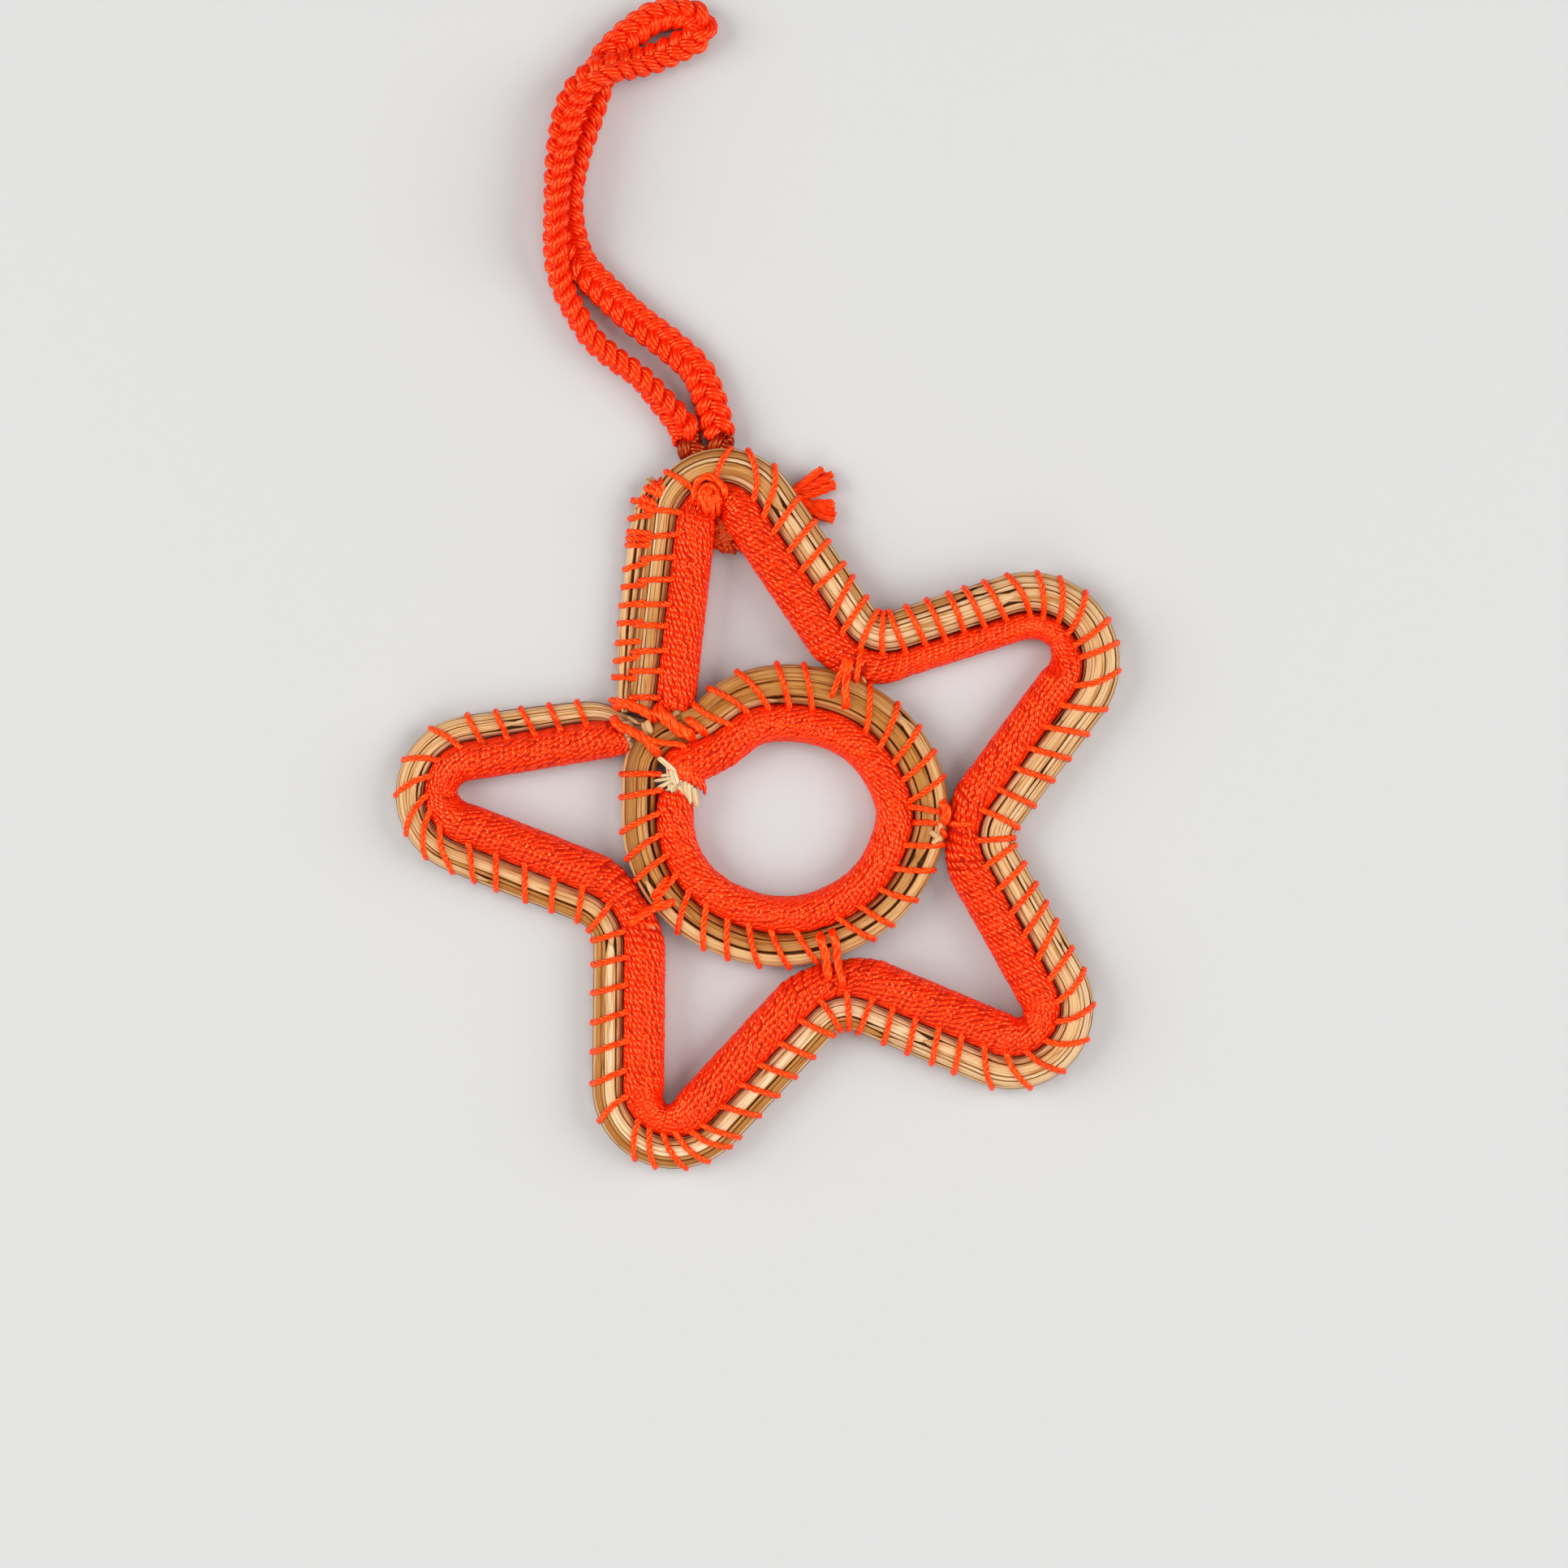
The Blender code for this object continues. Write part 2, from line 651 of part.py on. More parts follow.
def build_tail(name, x, y, angle, length, twine):
    """A frayed cord end: strands that part and spread as they leave the root."""
    root, way, side = Vector((x, y)), ray(angle), ray(angle + 90.0)
    flat = [root + side * TAIL_ROOT_WIDTH / 2, root - side * TAIL_ROOT_WIDTH / 2]
    for k in range(TAIL_STRANDS):
        reach = length * (1.0 - 0.12 * (k % 2))
        for edge in (k + 0.15, k + 0.85):
            flat.append(root + way * reach + side * TAIL_TIP_WIDTH * (edge / TAIL_STRANDS - 0.5))
        if k < TAIL_STRANDS - 1:
            split_width = mix(TAIL_ROOT_WIDTH, TAIL_TIP_WIDTH, TAIL_SPLIT)
            flat.append(root + way * length * TAIL_SPLIT
                        + side * split_width * ((k + 1) / TAIL_STRANDS - 0.5))
    outline = [spot.to_3d() + Vector((0.0, 0.0, TAIL_HEIGHT)) for spot in flat]
    prism(name, outline, TAIL_THICKNESS, twine)


def material(name, colour, roughness):
    made = bpy.data.materials.new(name)
    made.use_nodes = True
    shader = made.node_tree.nodes["Principled BSDF"]
    shader.inputs["Base Color"].default_value = (*colour, 1.0)
    shader.inputs["Roughness"].default_value = roughness
    return made


def place():
    """Moves the ornament so that its middle, without the cord, is over the origin."""
    solids = [thing.data for thing in bpy.data.objects if thing.type == "MESH"]
    spans = zip(*(corner.co.xy for data in solids for corner in data.vertices))
    middle = [(min(span) + max(span)) / 2 for span in spans]
    for thing in bpy.data.objects:
        thing.location = (-middle[0], -middle[1], 0.0)


def main():
    for thing in list(bpy.data.objects):
        bpy.data.objects.remove(thing, do_unlink=True)
    twine = material("orange_twine", ORANGE, 0.4)
    cord = material("braided_cord", ORANGE, 0.45)
    needles = material("pine_needles", TAN, 0.45)
    cut_needles = material("cut_needles", PALE, 0.8)

    seam, notches = star_seam()
    build_star_coils(seam, twine, needles)
    build_star_stitching(seam, notches, twine)
    build_ring_coils(twine, needles, cut_needles)
    build_flat_tie("tie_top_left", twine)
    names = ("tie_top_right", "tie_right", "tie_bottom", "tie_lower_left")
    angles = [build_notch_tie(name, seam, notch, twine) for name, notch in zip(names, notches)]
    ahead = sorted((angle - RING_BUTT) % 360.0 + RING_BUTT for angle in angles)
    build_ring_stitching([RING_BUTT, *ahead], twine)

    build_cord(cord)
    build_knot("cord_knot", CORD_KNOT, CORD_KNOT_SIZE, cord)
    build_knot("crown_knot", CROWN_KNOT, CROWN_KNOT_SIZE, twine)
    for name, x, y, angle, length in TAILS:
        build_tail(name, x, y, angle, length, cord)
    place()


main()
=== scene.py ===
"""Looks of the pine needle star ornament: twine, needles, stitches, knots and braid.

Lengths are millimetres and angles are degrees, laid out round the hub, which is the middle
of the ring. Meshes are turned into metres, in the frame's place, when they are made.
"""
import math
from collections import namedtuple
from types import SimpleNamespace

import bpy
import numpy as np
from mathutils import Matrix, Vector


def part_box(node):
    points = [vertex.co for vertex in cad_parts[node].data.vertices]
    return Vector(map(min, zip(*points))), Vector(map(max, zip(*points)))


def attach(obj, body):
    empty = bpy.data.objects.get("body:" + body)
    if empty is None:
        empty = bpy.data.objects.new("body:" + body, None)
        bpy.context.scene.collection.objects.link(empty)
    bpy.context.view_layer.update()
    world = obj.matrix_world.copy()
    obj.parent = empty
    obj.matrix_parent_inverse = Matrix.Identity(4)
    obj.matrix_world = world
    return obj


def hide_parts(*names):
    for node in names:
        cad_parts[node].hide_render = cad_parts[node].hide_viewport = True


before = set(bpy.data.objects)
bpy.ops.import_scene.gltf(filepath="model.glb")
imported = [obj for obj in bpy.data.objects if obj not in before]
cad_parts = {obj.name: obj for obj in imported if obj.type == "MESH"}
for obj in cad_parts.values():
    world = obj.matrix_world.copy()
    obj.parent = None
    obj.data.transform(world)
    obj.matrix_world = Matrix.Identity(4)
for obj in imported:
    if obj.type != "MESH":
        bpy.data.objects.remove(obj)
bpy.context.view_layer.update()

MM = 0.001
TURN = 2.0 * np.pi
UP = (0.0, 0.0, 1.0)
CLEAR = 0.3  # gap that the solids keep between them
CURVE_SAMPLES = 12  # between two given points of a smooth curve
PATTERN_REACH = 500.0  # of a strand's random start in its material's pattern

# Layout of the seam between the wrapped coil and the bare coil, as in the solids, with the
# thicknesses that the coils have where no gap is kept between them.
StarPoint = namedtuple(
    "StarPoint",
    "name tip_angle tip_reach tip_round notch_angle notch_reach notch_round "
    "wrap_before wrap_tip wrap_after wrap_notch bare_before bare_after",
)
STAR_POINTS = (
    StarPoint("top", 101.8, 41.7, 6.4, 63.9, 33.8, 7.1, 5.8, 4.2, 6.0, 5.2, 4.1, 5.0),
    StarPoint("upper_right", 31.3, 41.3, 7.5, 355.1, 35.4, 7.1, 4.1, 3.9, 5.7, 4.8, 5.4, 4.8),
    StarPoint("lower_right", 320.2, 42.4, 7.0, 286.1, 34.1, 7.1, 5.8, 5.0, 6.2, 5.1, 4.5, 4.5),
    StarPoint("lower_left", 248.4, 41.2, 7.2, 211.4, 35.5, 8.1, 6.1, 4.4, 6.0, 4.9, 4.4, 4.2),
    StarPoint("left", 175.8, 43.1, 7.5, 138.3, 26.3, 2.9, 6.0, 4.7, 5.7, 5.0, 4.1, 3.6),
)
LEG_OVERRUN = 6.0  # straight seam kept beyond the first and the last leg
SEAM_STEP = 0.5
WRAP_START = -2.2
WRAP_END = 3.8
WRAP_END_SLANT = 1.2  # how far the last turns lean
WRAP_END_SPREAD = 5.0
BARE_START = -2.8
BARE_STEP = 1.0
FIRST_LEG_SHARE = 0.90  # thickness of its bare coil, of the solid's
FIRST_LEG_FADE = (18.0, 28.0)  # where that grows to the full thickness
LAST_LEG_SHARE = 0.65  # thickness of its bare end, of the full one
LAST_LEG_FADE = (0.0, 16.0)  # the same, from the leg's end
LAST_LEG_BEND = 3.5  # how far its bare end bends inwards
LAST_LEG_SPREAD = 4.4
FOOT_BENDS = ((-0.9, 5.0, 6.0), (1.2, -5.0, 4.0))  # of the first leg: outwards, middle, spread

ROW_THICKNESS = 2.5
ROW_START = -3.0
ROW_STOP = 27.9
ROW_STEP = 0.6
ROW_SINK = 0.1  # how far the second row is pressed into the first
ROW_WIDTHS = ((ROW_START, ROW_START + 2.5, 8.0, 23.0, ROW_STOP),
              (0.35, 0.7, 1.0, 0.95, 0.6))
ROW_LIFTS = ((ROW_START, 2.0), (1.8, 0.0))

RING_SEAM_X = 18.0
RING_SEAM_Y = 16.1
RING_MIDDLE = (0.3, -0.2)
RING_FULLNESS = 2.12  # 2 is an ellipse, more fills the corners out
RING_ANGLES = np.arange(90.0, 631.0, 1.5)
RING_BULGES = ((-1.6, 130.0, 17.0), (1.4, 154.0, 12.0), (0.5, 272.0, 25.0), (0.6, 2.0, 14.0))
RING_WRAP = 5.5
RING_BARES = ((0.0, 20.0, 90.0, 130.0, 200.0, 250.0, 270.0, 310.0, 340.0, 360.0),
              (4.75, 5.3, 5.5, 4.9, 4.7, 4.7, 4.5, 4.3, 4.5, 4.75))  # thickness by angle
RING_CUT = 160.2
RING_RESTART = 168.8
RING_CUT_FLARE = 0.44  # how much wider the coil is at its cut
RING_CUT_PUSH = 0.6
RING_CUT_SLANT = 2.6  # how far the cut leans, longer on the inside
RING_CUT_SPREAD = 6.0
RING_CUT_BEYOND = 3.0  # keeps the coil full up to the cut
RING_CUT_HOLLOW = 2.4  # the filling ends this far before the cut
RING_BUTT = 140.5
RING_BUTT_OVERLAP = 1.2

# Twine: three plies twisted together, loose where several turns make a band.
TWINE = 0.96
TWINE_LAY = 3.1
PLY_SHARE = 0.53  # radius of a ply, as a share of the twine's radius
BAND_LAY = 4.6
BAND_PLY = 0.33
BAND_STEP = 0.25
BAND_RISE = 0.26  # how far its plies swing up and down
BAND_LOOSE = (0.12, 0.1)  # how far they stray from it, sideways and upwards
BAND_ENDS = 5  # steps by which their ends differ
BAND_BENDS = 5.0  # steps from one bend of a loose ply to the next
BAND_WANDER = 0.5

# Windings: the plies of the twine, pressed flat.
WINDING_PITCH = 0.86
WINDING_STARTS = 4  # twines wound side by side
LAYS_ROUND = 9.5  # twists of the twine in one turn round the coil
PLY_SWING = 0.48  # how far a ply swings to either side of its twine
PLY_HEIGHTS = ((0.0, 60.0, 102.0, 180.0), (0.05, 0.03, -0.03, -0.26))  # by twist
PLY_WIDTH = 0.35  # half of it
PLY_DEPTH = 0.22
PLY_OUTLINE = np.array(((1.0, -0.4), (0.58, 0.72), (-0.58, 0.72), (-1.0, -0.4)))
PLY_SAMPLES = np.array((-102.0, -60.0, 0.0, 60.0, 102.0, 180.0))
PLY_COARSE = np.array((True, False, True, False, True, False))
COARSE_BELOW = -0.35  # sine of the turn below which only those samples are used
SHARED_WAVES = 6  # waves in the twist that all plies share
SHARED_RANGE = (2.5, 1.7, np.pi)  # each one's largest rates, round and along, and phase
SHARED_WANDER = 0.5
TWIST_WANDER = 0.8
DRIFT_WANDER = 0.15
SWELL_WANDER = 0.05
WANDER_STEP = 0.22
WANDER_MARGIN = 0.3
END_FULLNESS = ((0.0, 0.8, 2.4), (0.78, 0.92, 1.0))  # share of the radius, by the way to an end
WINDING_FILL = 0.18  # depth of the filling that closes the gaps, coloured as painted shade
FILL_STEP = 0.7
FILL_MARGIN = 0.3
FILL_SIDES = 16

# Needles of the bare coils.
BARE_HEIGHT = 0.92  # of a bare coil, for its width
BARE_LIFT = 0.72  # share of the twine's thickness by which it is off the ground
NEEDLE_OUTLINE = np.array(((-1.0, -1.0), (-1.0, 0.3), (-0.84, 0.76), (-0.4, 0.97), (0.4, 0.97),
                           (0.84, 0.76), (1.0, 0.3), (1.0, -1.0)))
NEEDLE_THICKNESS = 0.4
NEEDLE_WIDTH = 1.3
NEEDLE_WIDTHS = (0.5, 0.8, 1.0, 1.2, 1.6)  # as shares of it
NEEDLE_TRACKS = 6  # fewest needles side by side
NEEDLE_LENGTHS = (35.0, 110.0)
NEEDLE_START = 40.0  # the first one may start this far before the coil
NEEDLE_OVERLAP = 2.5
NEEDLE_ROWS = 4  # a shorter rest is left out
NEEDLE_BENDS = 12.0  # from one bend to the next
NEEDLE_DRIFT = 0.2  # share of its half width by which a bend goes to the side
NEEDLE_SINK = (0.05, 0.03)  # of a whole needle, and along it
NEEDLE_REACHES = ((1.05, 1.02, 0.99, 0.93), (0.35, 0.3, 0.2, 0.15))  # width and how often
NEEDLE_TIP = 0.3  # share of its width at its tip
NEEDLE_TAPER = 4.0
NEEDLE_PALE = 1.3  # more makes more of them pale
NEEDLE_PATTERN = 731.0  # sets needles of different tones apart in the pattern
NEEDLE_FILL = 0.36  # depth of the painted-shade filling between them
SPLINTER_STEP = 0.5
SPLINTER_RIM = 0.8  # keeps the painted edge shade of the needles' material off it
SPLINTER_PATTERN = 300.0
SPLINTER_WIDTHS = ((0.0, 0.12, 0.85, 1.0), (0.8, 1.0, 1.0, 0.6))

# Stitches. Routes are (out from the seam, height).
STITCH_DEPTHS = (-0.95, -0.5)  # where they come up through the wrapped coil
STITCH_START = ((-0.2, -0.9), (0.05, -0.1))  # from there
STITCH_EDGE = (-0.45, 0.35)  # height is over the wrapped coil
STITCH_ARC = (128, 105, 80, 55, 30, 5, -20, -45, -70, -95, -120)
STITCH_BACK = ((-0.4, 0.6), (-1.3, 0.9))  # heights are shares of the twine's thickness
STITCH_BACK_LEAN = 0.3  # share of its lean that a stitch has underneath
STITCH_GRIP = 0.12  # share of the twine's thickness that is pressed into the coil
STITCH_SLIP = 0.2
STITCH_LEAN_SLIP = 4.0
ROW_STITCH_START = ((-1.1, 0.1), (-0.5, 0.75))  # from the row's inner side and its top
ROW_STITCH_ARC = (110, 75, 40, 10, -20, -50, -80, -110)
ROW_STITCH_BACK = (-0.4, 0.6)
# Rows along the star: first and last distance, count, first and last lean.
STAR_STITCHES = (
    (-0.6, -0.6, 1, 3, 3), (2.9, 25.6, 8, 4, 9), (29.4, 29.4, 1, 10, 10),
    (32.8, 32.8, 1, -21, -21), (39.0, 42.0, 2, 35, 31), (44.8, 54.8, 4, 20, 10),
    (58.8, 61.8, 2, 25, 19), (65.0, 86.0, 8, 6, 10), (89.6, 100.8, 6, 19, 9),
    (104.8, 126.8, 7, 29, 11), (131.0, 149.4, 6, 0, 31), (152.8, 172.6, 7, 24, 24),
    (176.4, 193.4, 6, 15, 2), (196.8, 217.0, 6, 12, 26), (220.8, 231.4, 6, 27, 27),
    (235.6, 255.6, 6, 22, 13), (259.0, 284.4, 7, 6, 27), (289.0, 300.4, 5, 42, 27),
    (304.2, 322.8, 6, 24, 13),
)
# The second row's short stitches: distance and lean.
ROW_STITCHES = (
    (-1.4, 4), (1.8, 0), (4.4, 14), (6.8, 8), (9.6, 8), (12.2, 12), (14.8, 10), (17.6, 20),
    (20.6, 2), (21.5, 0), (22.4, -2), (24.4, 8), (25.6, 4),
)
# Rows round the ring, by angle.
RING_STITCHES = (
    (161.0, 169.0, 2, 8, 12), (179.0, 209.0, 4, 20, 12), (219.0, 277.0, 6, 23, 22),
    (300.0, 347.0, 5, 26, 15), (368.0, 407.0, 5, 16, 22), (435.0, 482.0, 5, 16, 26),
)

# Hanging cord: three bundles of threads, plaited flat. Lifts are counted in the solid's thickness.
CORD_WIDTH = 5.0
CORD_HEIGHT = 3.4
CORD_THICKNESS = 3.5
CORD_STEP = 0.3
CORD_PINCH = 1.0  # how much narrower it is where it stands on its edge
CORD_ROLLS = ((0.0, 0.03, 0.07, 0.25, 0.32, 0.55, 0.62, 1.0),
              (20.0, 45.0, 75.0, 75.0, 35.0, 30.0, 10.0, 0.0))  # by share of its length
CORD_ROUTE = (
    (-13.1, 53.4, 0.0), (-14.2, 55.6, 0.0), (-17.1, 58.9, 0.0), (-19.9, 62.0, 0.0),
    (-23.5, 64.6, 0.0), (-26.7, 67.4, 0.0), (-28.8, 70.7, 0.0), (-30.5, 73.9, 0.07),
    (-31.5, 77.1, 0.44), (-31.7, 80.4, 0.93), (-31.6, 84.2, 1.1), (-31.2, 91.0, 1.1),
    (-30.4, 96.3, 1.1), (-29.5, 99.9, 1.1), (-27.5, 103.0, 1.1), (-24.5, 105.0, 0.93),
    (-20.9, 106.1, 0.41), (-17.2, 107.4, 0.04), (-14.2, 108.8, 0.0), (-11.9, 110.1, 0.0),
    (-11.2, 111.7, 0.0), (-12.5, 113.1, 0.0), (-14.9, 113.5, 0.0), (-17.9, 112.9, 0.0),
    (-20.7, 111.0, 0.0), (-23.1, 108.8, 0.0), (-25.1, 106.2, 0.0), (-26.1, 103.3, 0.0),
    (-27.6, 98.5, 0.0), (-29.3, 93.3, 0.0), (-30.3, 87.7, 0.0), (-29.9, 82.6, 0.0),
    (-28.2, 77.9, 0.0), (-24.6, 74.0, 0.0), (-20.2, 70.0, 0.0), (-15.5, 66.4, 0.0),
    (-11.9, 63.0, 0.0), (-10.1, 58.9, 0.0), (-9.3, 56.2, 0.0), (-8.8, 53.8, 0.0),
)
CORD_ROOTS = (
    ((-13.4, 53.0, 1.75), (-12.3, 51.2, 1.6), (-11.2, 48.6, 1.2), (-9.9, 45.0, 1.0),
     (-8.9, 41.5, 1.1), (-8.2, 39.0, 1.4)),
    ((-8.7, 53.4, 1.75), (-8.3, 51.0, 1.6), (-8.0, 48.4, 1.2), (-7.8, 45.0, 1.0),
     (-7.6, 41.5, 1.1), (-7.4, 39.0, 1.4)),
)
CORD_ROOT_WIDTH = 4.2
CORD_ROOT_HEIGHT = 1.6  # at the end
BRAID_BUNDLE = 0.95  # radius of a bundle
BRAID_LAY = 6.3
BRAID_THREADS = 7
BRAID_THREAD = 0.35  # radius of a thread
BRAID_THREAD_SIDES = 5
BRAID_THREAD_LAY = 7.5
BRAID_CORE = (0.64, 0.58)  # how far its threads are from a bundle's middle, across and up
FLOOR_GAP = 0.25  # kept beneath it

# Strands pulled tight over the coils: ties, and loops of the knot at the crown.
DRAPE_STEP = 0.25
DRAPE_REST = 0.42  # share of the twine's thickness by which its middle is above them
DRAPE_PULLS = 60
DROP = 2.6  # how far a dropped end goes down
DROP_REACH = 1.1
TIE_LIFT = 0.15  # most that a strand lies above its place
# Each tie's strands: flat route, width, and which ends drop down where not both do.
TIES = (
    ("tie_top_left", (
        (((-23.6, 15.2), (-22.3, 15.8), (-20.8, 15.4), (-19.2, 14.7), (-18.0, 13.7),
          (-17.9, 12.9)), 1.6),
        (((-23.7, 14.0), (-22.7, 12.6), (-21.0, 11.9), (-19.4, 11.0), (-18.2, 9.8),
          (-17.0, 8.4)), 1.6),
        (((-20.3, 11.8), (-18.6, 10.8), (-16.3, 10.2), (-14.2, 10.0), (-13.2, 9.1)), TWINE,
         (0, 1)),
        (((-17.9, 15.4), (-16.3, 13.9), (-14.7, 12.4), (-13.3, 11.7), (-11.9, 11.2)), 1.9),
        (((-13.3, 13.8), (-11.9, 12.7), (-10.4, 11.5)), 1.2),
    )),
    ("tie_top_right", (
        (((9.3, 22.7), (8.6, 20.6), (7.0, 16.4)), TWINE),
        (((10.0, 22.3), (9.2, 19.7), (9.1, 14.9)), 1.3),
        (((11.5, 23.6), (10.9, 21.1), (10.5, 18.5)), TWINE),
    )),
    ("tie_right", (
        (((17.6, 1.4), (20.0, 1.0), (22.8, 0.4)), TWINE),
        (((18.4, -1.0), (20.2, -0.9), (22.3, -1.2)), TWINE),
        (((22.6, 2.4), (23.2, 0.4), (22.7, -1.4)), 1.5),
        (((23.4, -0.9), (25.2, -1.2), (27.2, -1.2)), 1.1),
        (((22.3, -1.6), (23.4, -3.2)), TWINE),
    )),
    ("tie_bottom", (
        (((5.4, -16.5), (6.4, -20.1), (6.8, -23.4)), 1.3),
        (((7.3, -16.0), (8.0, -20.0), (8.7, -24.3)), 1.3),
    )),
    ("tie_lower_left", (
        (((-21.5, -15.4), (-18.4, -13.3), (-14.8, -12.0)), 1.3),
        (((-18.2, -11.6), (-15.7, -8.4)), TWINE),
        (((-20.0, -13.0), (-18.0, -14.4)), TWINE),
    )),
)
# Each loop at the crown: flat route, width and lift.
CROWN_LOOPS = (
    (((-12.2, 44.0), (-12.0, 46.2), (-10.9, 47.6), (-9.4, 47.5), (-8.2, 46.3), (-7.8, 44.6)),
     1.1, 0.0),
    (((-11.5, 43.6), (-11.0, 45.6), (-10.1, 46.5), (-9.1, 45.7), (-8.7, 43.6)), 1.1, 0.4),
    (((-11.4, 46.0), (-11.0, 44.6), (-10.4, 42.2)), 1.0, 0.7),
    (((-10.2, 46.6), (-10.0, 44.8), (-9.7, 42.0)), 1.1, 0.9),
    (((-8.9, 46.2), (-8.9, 44.6), (-8.9, 42.3)), 1.0, 0.7),
)
# Knots: middle, size, turns and thickness of the twine.
CORD_KNOT = ((-6.9, 40.3, 2.0), (7.4, 6.9, 3.6), 13, 1.7)
CROWN_KNOT = ((-10.0, 44.8, 5.2), (2.8, 3.4, 2.2), 5, 1.0)
KNOT_TILT = 0.5
KNOT_BEND = 0.35
KNOT_POINTS = 26
KNOT_SHARE = 0.97  # of a full turn
# Turns round the second row's end: outer and inner end of each, seen from above.
END_TURNS = (
    ((-16.9, 47.3), (-15.6, 43.9)), ((-18.0, 47.0), (-16.1, 44.3)),
    ((-18.9, 46.3), (-16.5, 44.7)), ((-19.4, 44.9), (-16.9, 43.3)),
    ((-19.7, 43.9), (-17.6, 42.8)),
)
END_TWINE = 1.25
END_TURN_LEVEL = 2.3
END_TURN_RISE = 1.6
END_TURN_START = -0.6  # radians
END_TURN_POINTS = 24
END_TURN_UP = (0.3, 0.2, 0.9)
# Frayed tails: root, direction, length and half of the spread.
TAILS = (
    ("cord_tail_upper", (2.5, 45.6), 28.0, 5.4, 1.0),
    ("cord_tail_lower", (4.1, 43.6), -10.0, 3.7, 0.8),
)
TAIL_THREADS = 13
TAIL_TWINE = 0.85
TAIL_LAY = 4.5
TAIL_STEP = 0.3
TAIL_ROOT = 3.0
TAIL_ROOT_WIDTH = 0.7
TAIL_FAN = 1.15
TAIL_BEND = 0.55
TAIL_TUFTS = 1.4
TAIL_TUFT_GAP = 0.25
TAIL_LENGTHS = (0.82, 1.05)
TAIL_LEVEL = 1.4
TAIL_ENDS = (0.8, 2.8)

# Cut needles at a wrapped coil's open end: how far they reach, their count and their splay.
RING_STUB = (2.4, 50, 0.3)
STAR_STUB = (1.9, 36, 0.2)
CUT_TONE = 0.5  # darkest tone of a cut needle
CUT_PALE_TONE = 0.3
SPLINTER_TONES = (0.2, 0.7)
STUB_START = -1.6
STUB_RIM = 0.9  # kept free inside the winding
STUB_REACHES = (0.55, 1.0)
STUB_WIDTHS = (0.7, 1.1)
RING_STUB_INSET = 2.0
RING_STUB_HEIGHT = 0.8
# More at the ring's end: a block of parallel needles, as both ends of its first and last one,
# and single ones with their widths.
CUT_BLOCK = np.array((
    ((-15.7, 7.0, 4.9), (-15.6, 3.3, 4.3)),
    ((-12.3, 3.9, 4.9), (-11.6, 1.4, 4.0)),
))
CUT_BLOCK_COUNT = 9
CUT_BLOCK_SLIP = 0.25
CUT_BLOCK_WIDTHS = (0.5, 0.8)
CUT_NEEDLES = (
    ((-17.2, 8.2, 4.6), (-14.8, 6.2, 5.6), 0.75), ((-15.0, 5.3, 5.3), (-17.9, 4.9, 4.0), 0.45),
    ((-15.1, 5.0, 5.1), (-17.5, 3.8, 3.6), 0.6), ((-14.7, 4.4, 5.0), (-16.8, 3.1, 3.4), 0.5),
    ((-15.4, 5.8, 5.1), (-17.2, 5.6, 4.4), 0.4), ((-15.3, 6.6, 5.4), (-14.6, 4.4, 5.3), 1.0),
)
# Broken needles that stick out beside the ties and at the bound end, given in the same way.
SPLINTERS = (
    ((-21.6, 13.9, 3.8), (-20.2, 13.0, 4.4), 0.5), ((-21.2, 13.4, 3.8), (-19.8, 12.9, 4.2), 0.4),
    ((-19.4, 13.1, 4.4), (-18.8, 11.4, 4.7), 0.8), ((-18.8, 13.4, 4.6), (-18.2, 11.6, 5.0), 0.8),
    ((21.0, -2.2, 5.6), (22.6, -3.5, 5.5), 0.8), ((21.3, -3.9, 5.6), (22.5, -2.9, 5.7), 0.6),
    ((-19.9, -14.9, 5.0), (-17.7, -15.9, 4.6), 0.6),
    ((-19.4, -15.4, 4.8), (-18.2, -16.3, 4.6), 0.5),
    ((9.9, 21.6, 5.2), (10.2, 20.4, 5.4), 0.4), ((11.4, 19.6, 5.0), (12.0, 18.7, 4.9), 0.4),
    ((-18.9, 47.5, 3.0), (-17.8, 46.4, 3.4), 0.5), ((-18.3, 47.8, 2.8), (-17.4, 46.6, 3.2), 0.4),
    ((-20.7, 43.4, 2.4), (-19.9, 44.0, 2.8), 0.3),
)

# Camera, lights (place in metres, size and power) and floor.
VIEW_WIDTH = 221.4
VIEW_MIDDLE = (0.46, 4.47)
VIEW_LEVEL = 3.0
LENS = 85.0
SENSOR = 36.0
LIGHTS = (
    ("left_light", (-1.1, 0.15, 0.75), 1.1, 16.0),
    ("right_light", (1.1, 0.10, 0.75), 1.1, 14.5),
    ("near_light", (0.05, -1.1, 0.85), 1.1, 8.0),
    ("top_light", (0.1, 0.4, 1.4), 0.9, 3.6),
)
SKY_LIGHT = 0.15
FLOOR_REACH = 1.5
FLOOR_COLOUR = (0.565, 0.562, 0.558, 1.0)
WHITE = (1.0, 1.0, 1.0)

rng = np.random.default_rng(7)


def ray(angle):
    return np.array((math.cos(math.radians(angle)), math.sin(math.radians(angle))))


def find_hub():
    """Where the hub lies in the frame, from the box of the ring's wrapped coil."""
    low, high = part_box("ring_wrapped_coil")
    right = RING_MIDDLE[0] + RING_SEAM_X - CLEAR / 2
    bottom = RING_MIDDLE[1] - RING_SEAM_Y + CLEAR / 2
    return np.array((high[0] / MM - right, low[1] / MM - bottom, 0.0))


HUB = find_hub()


# Meshes

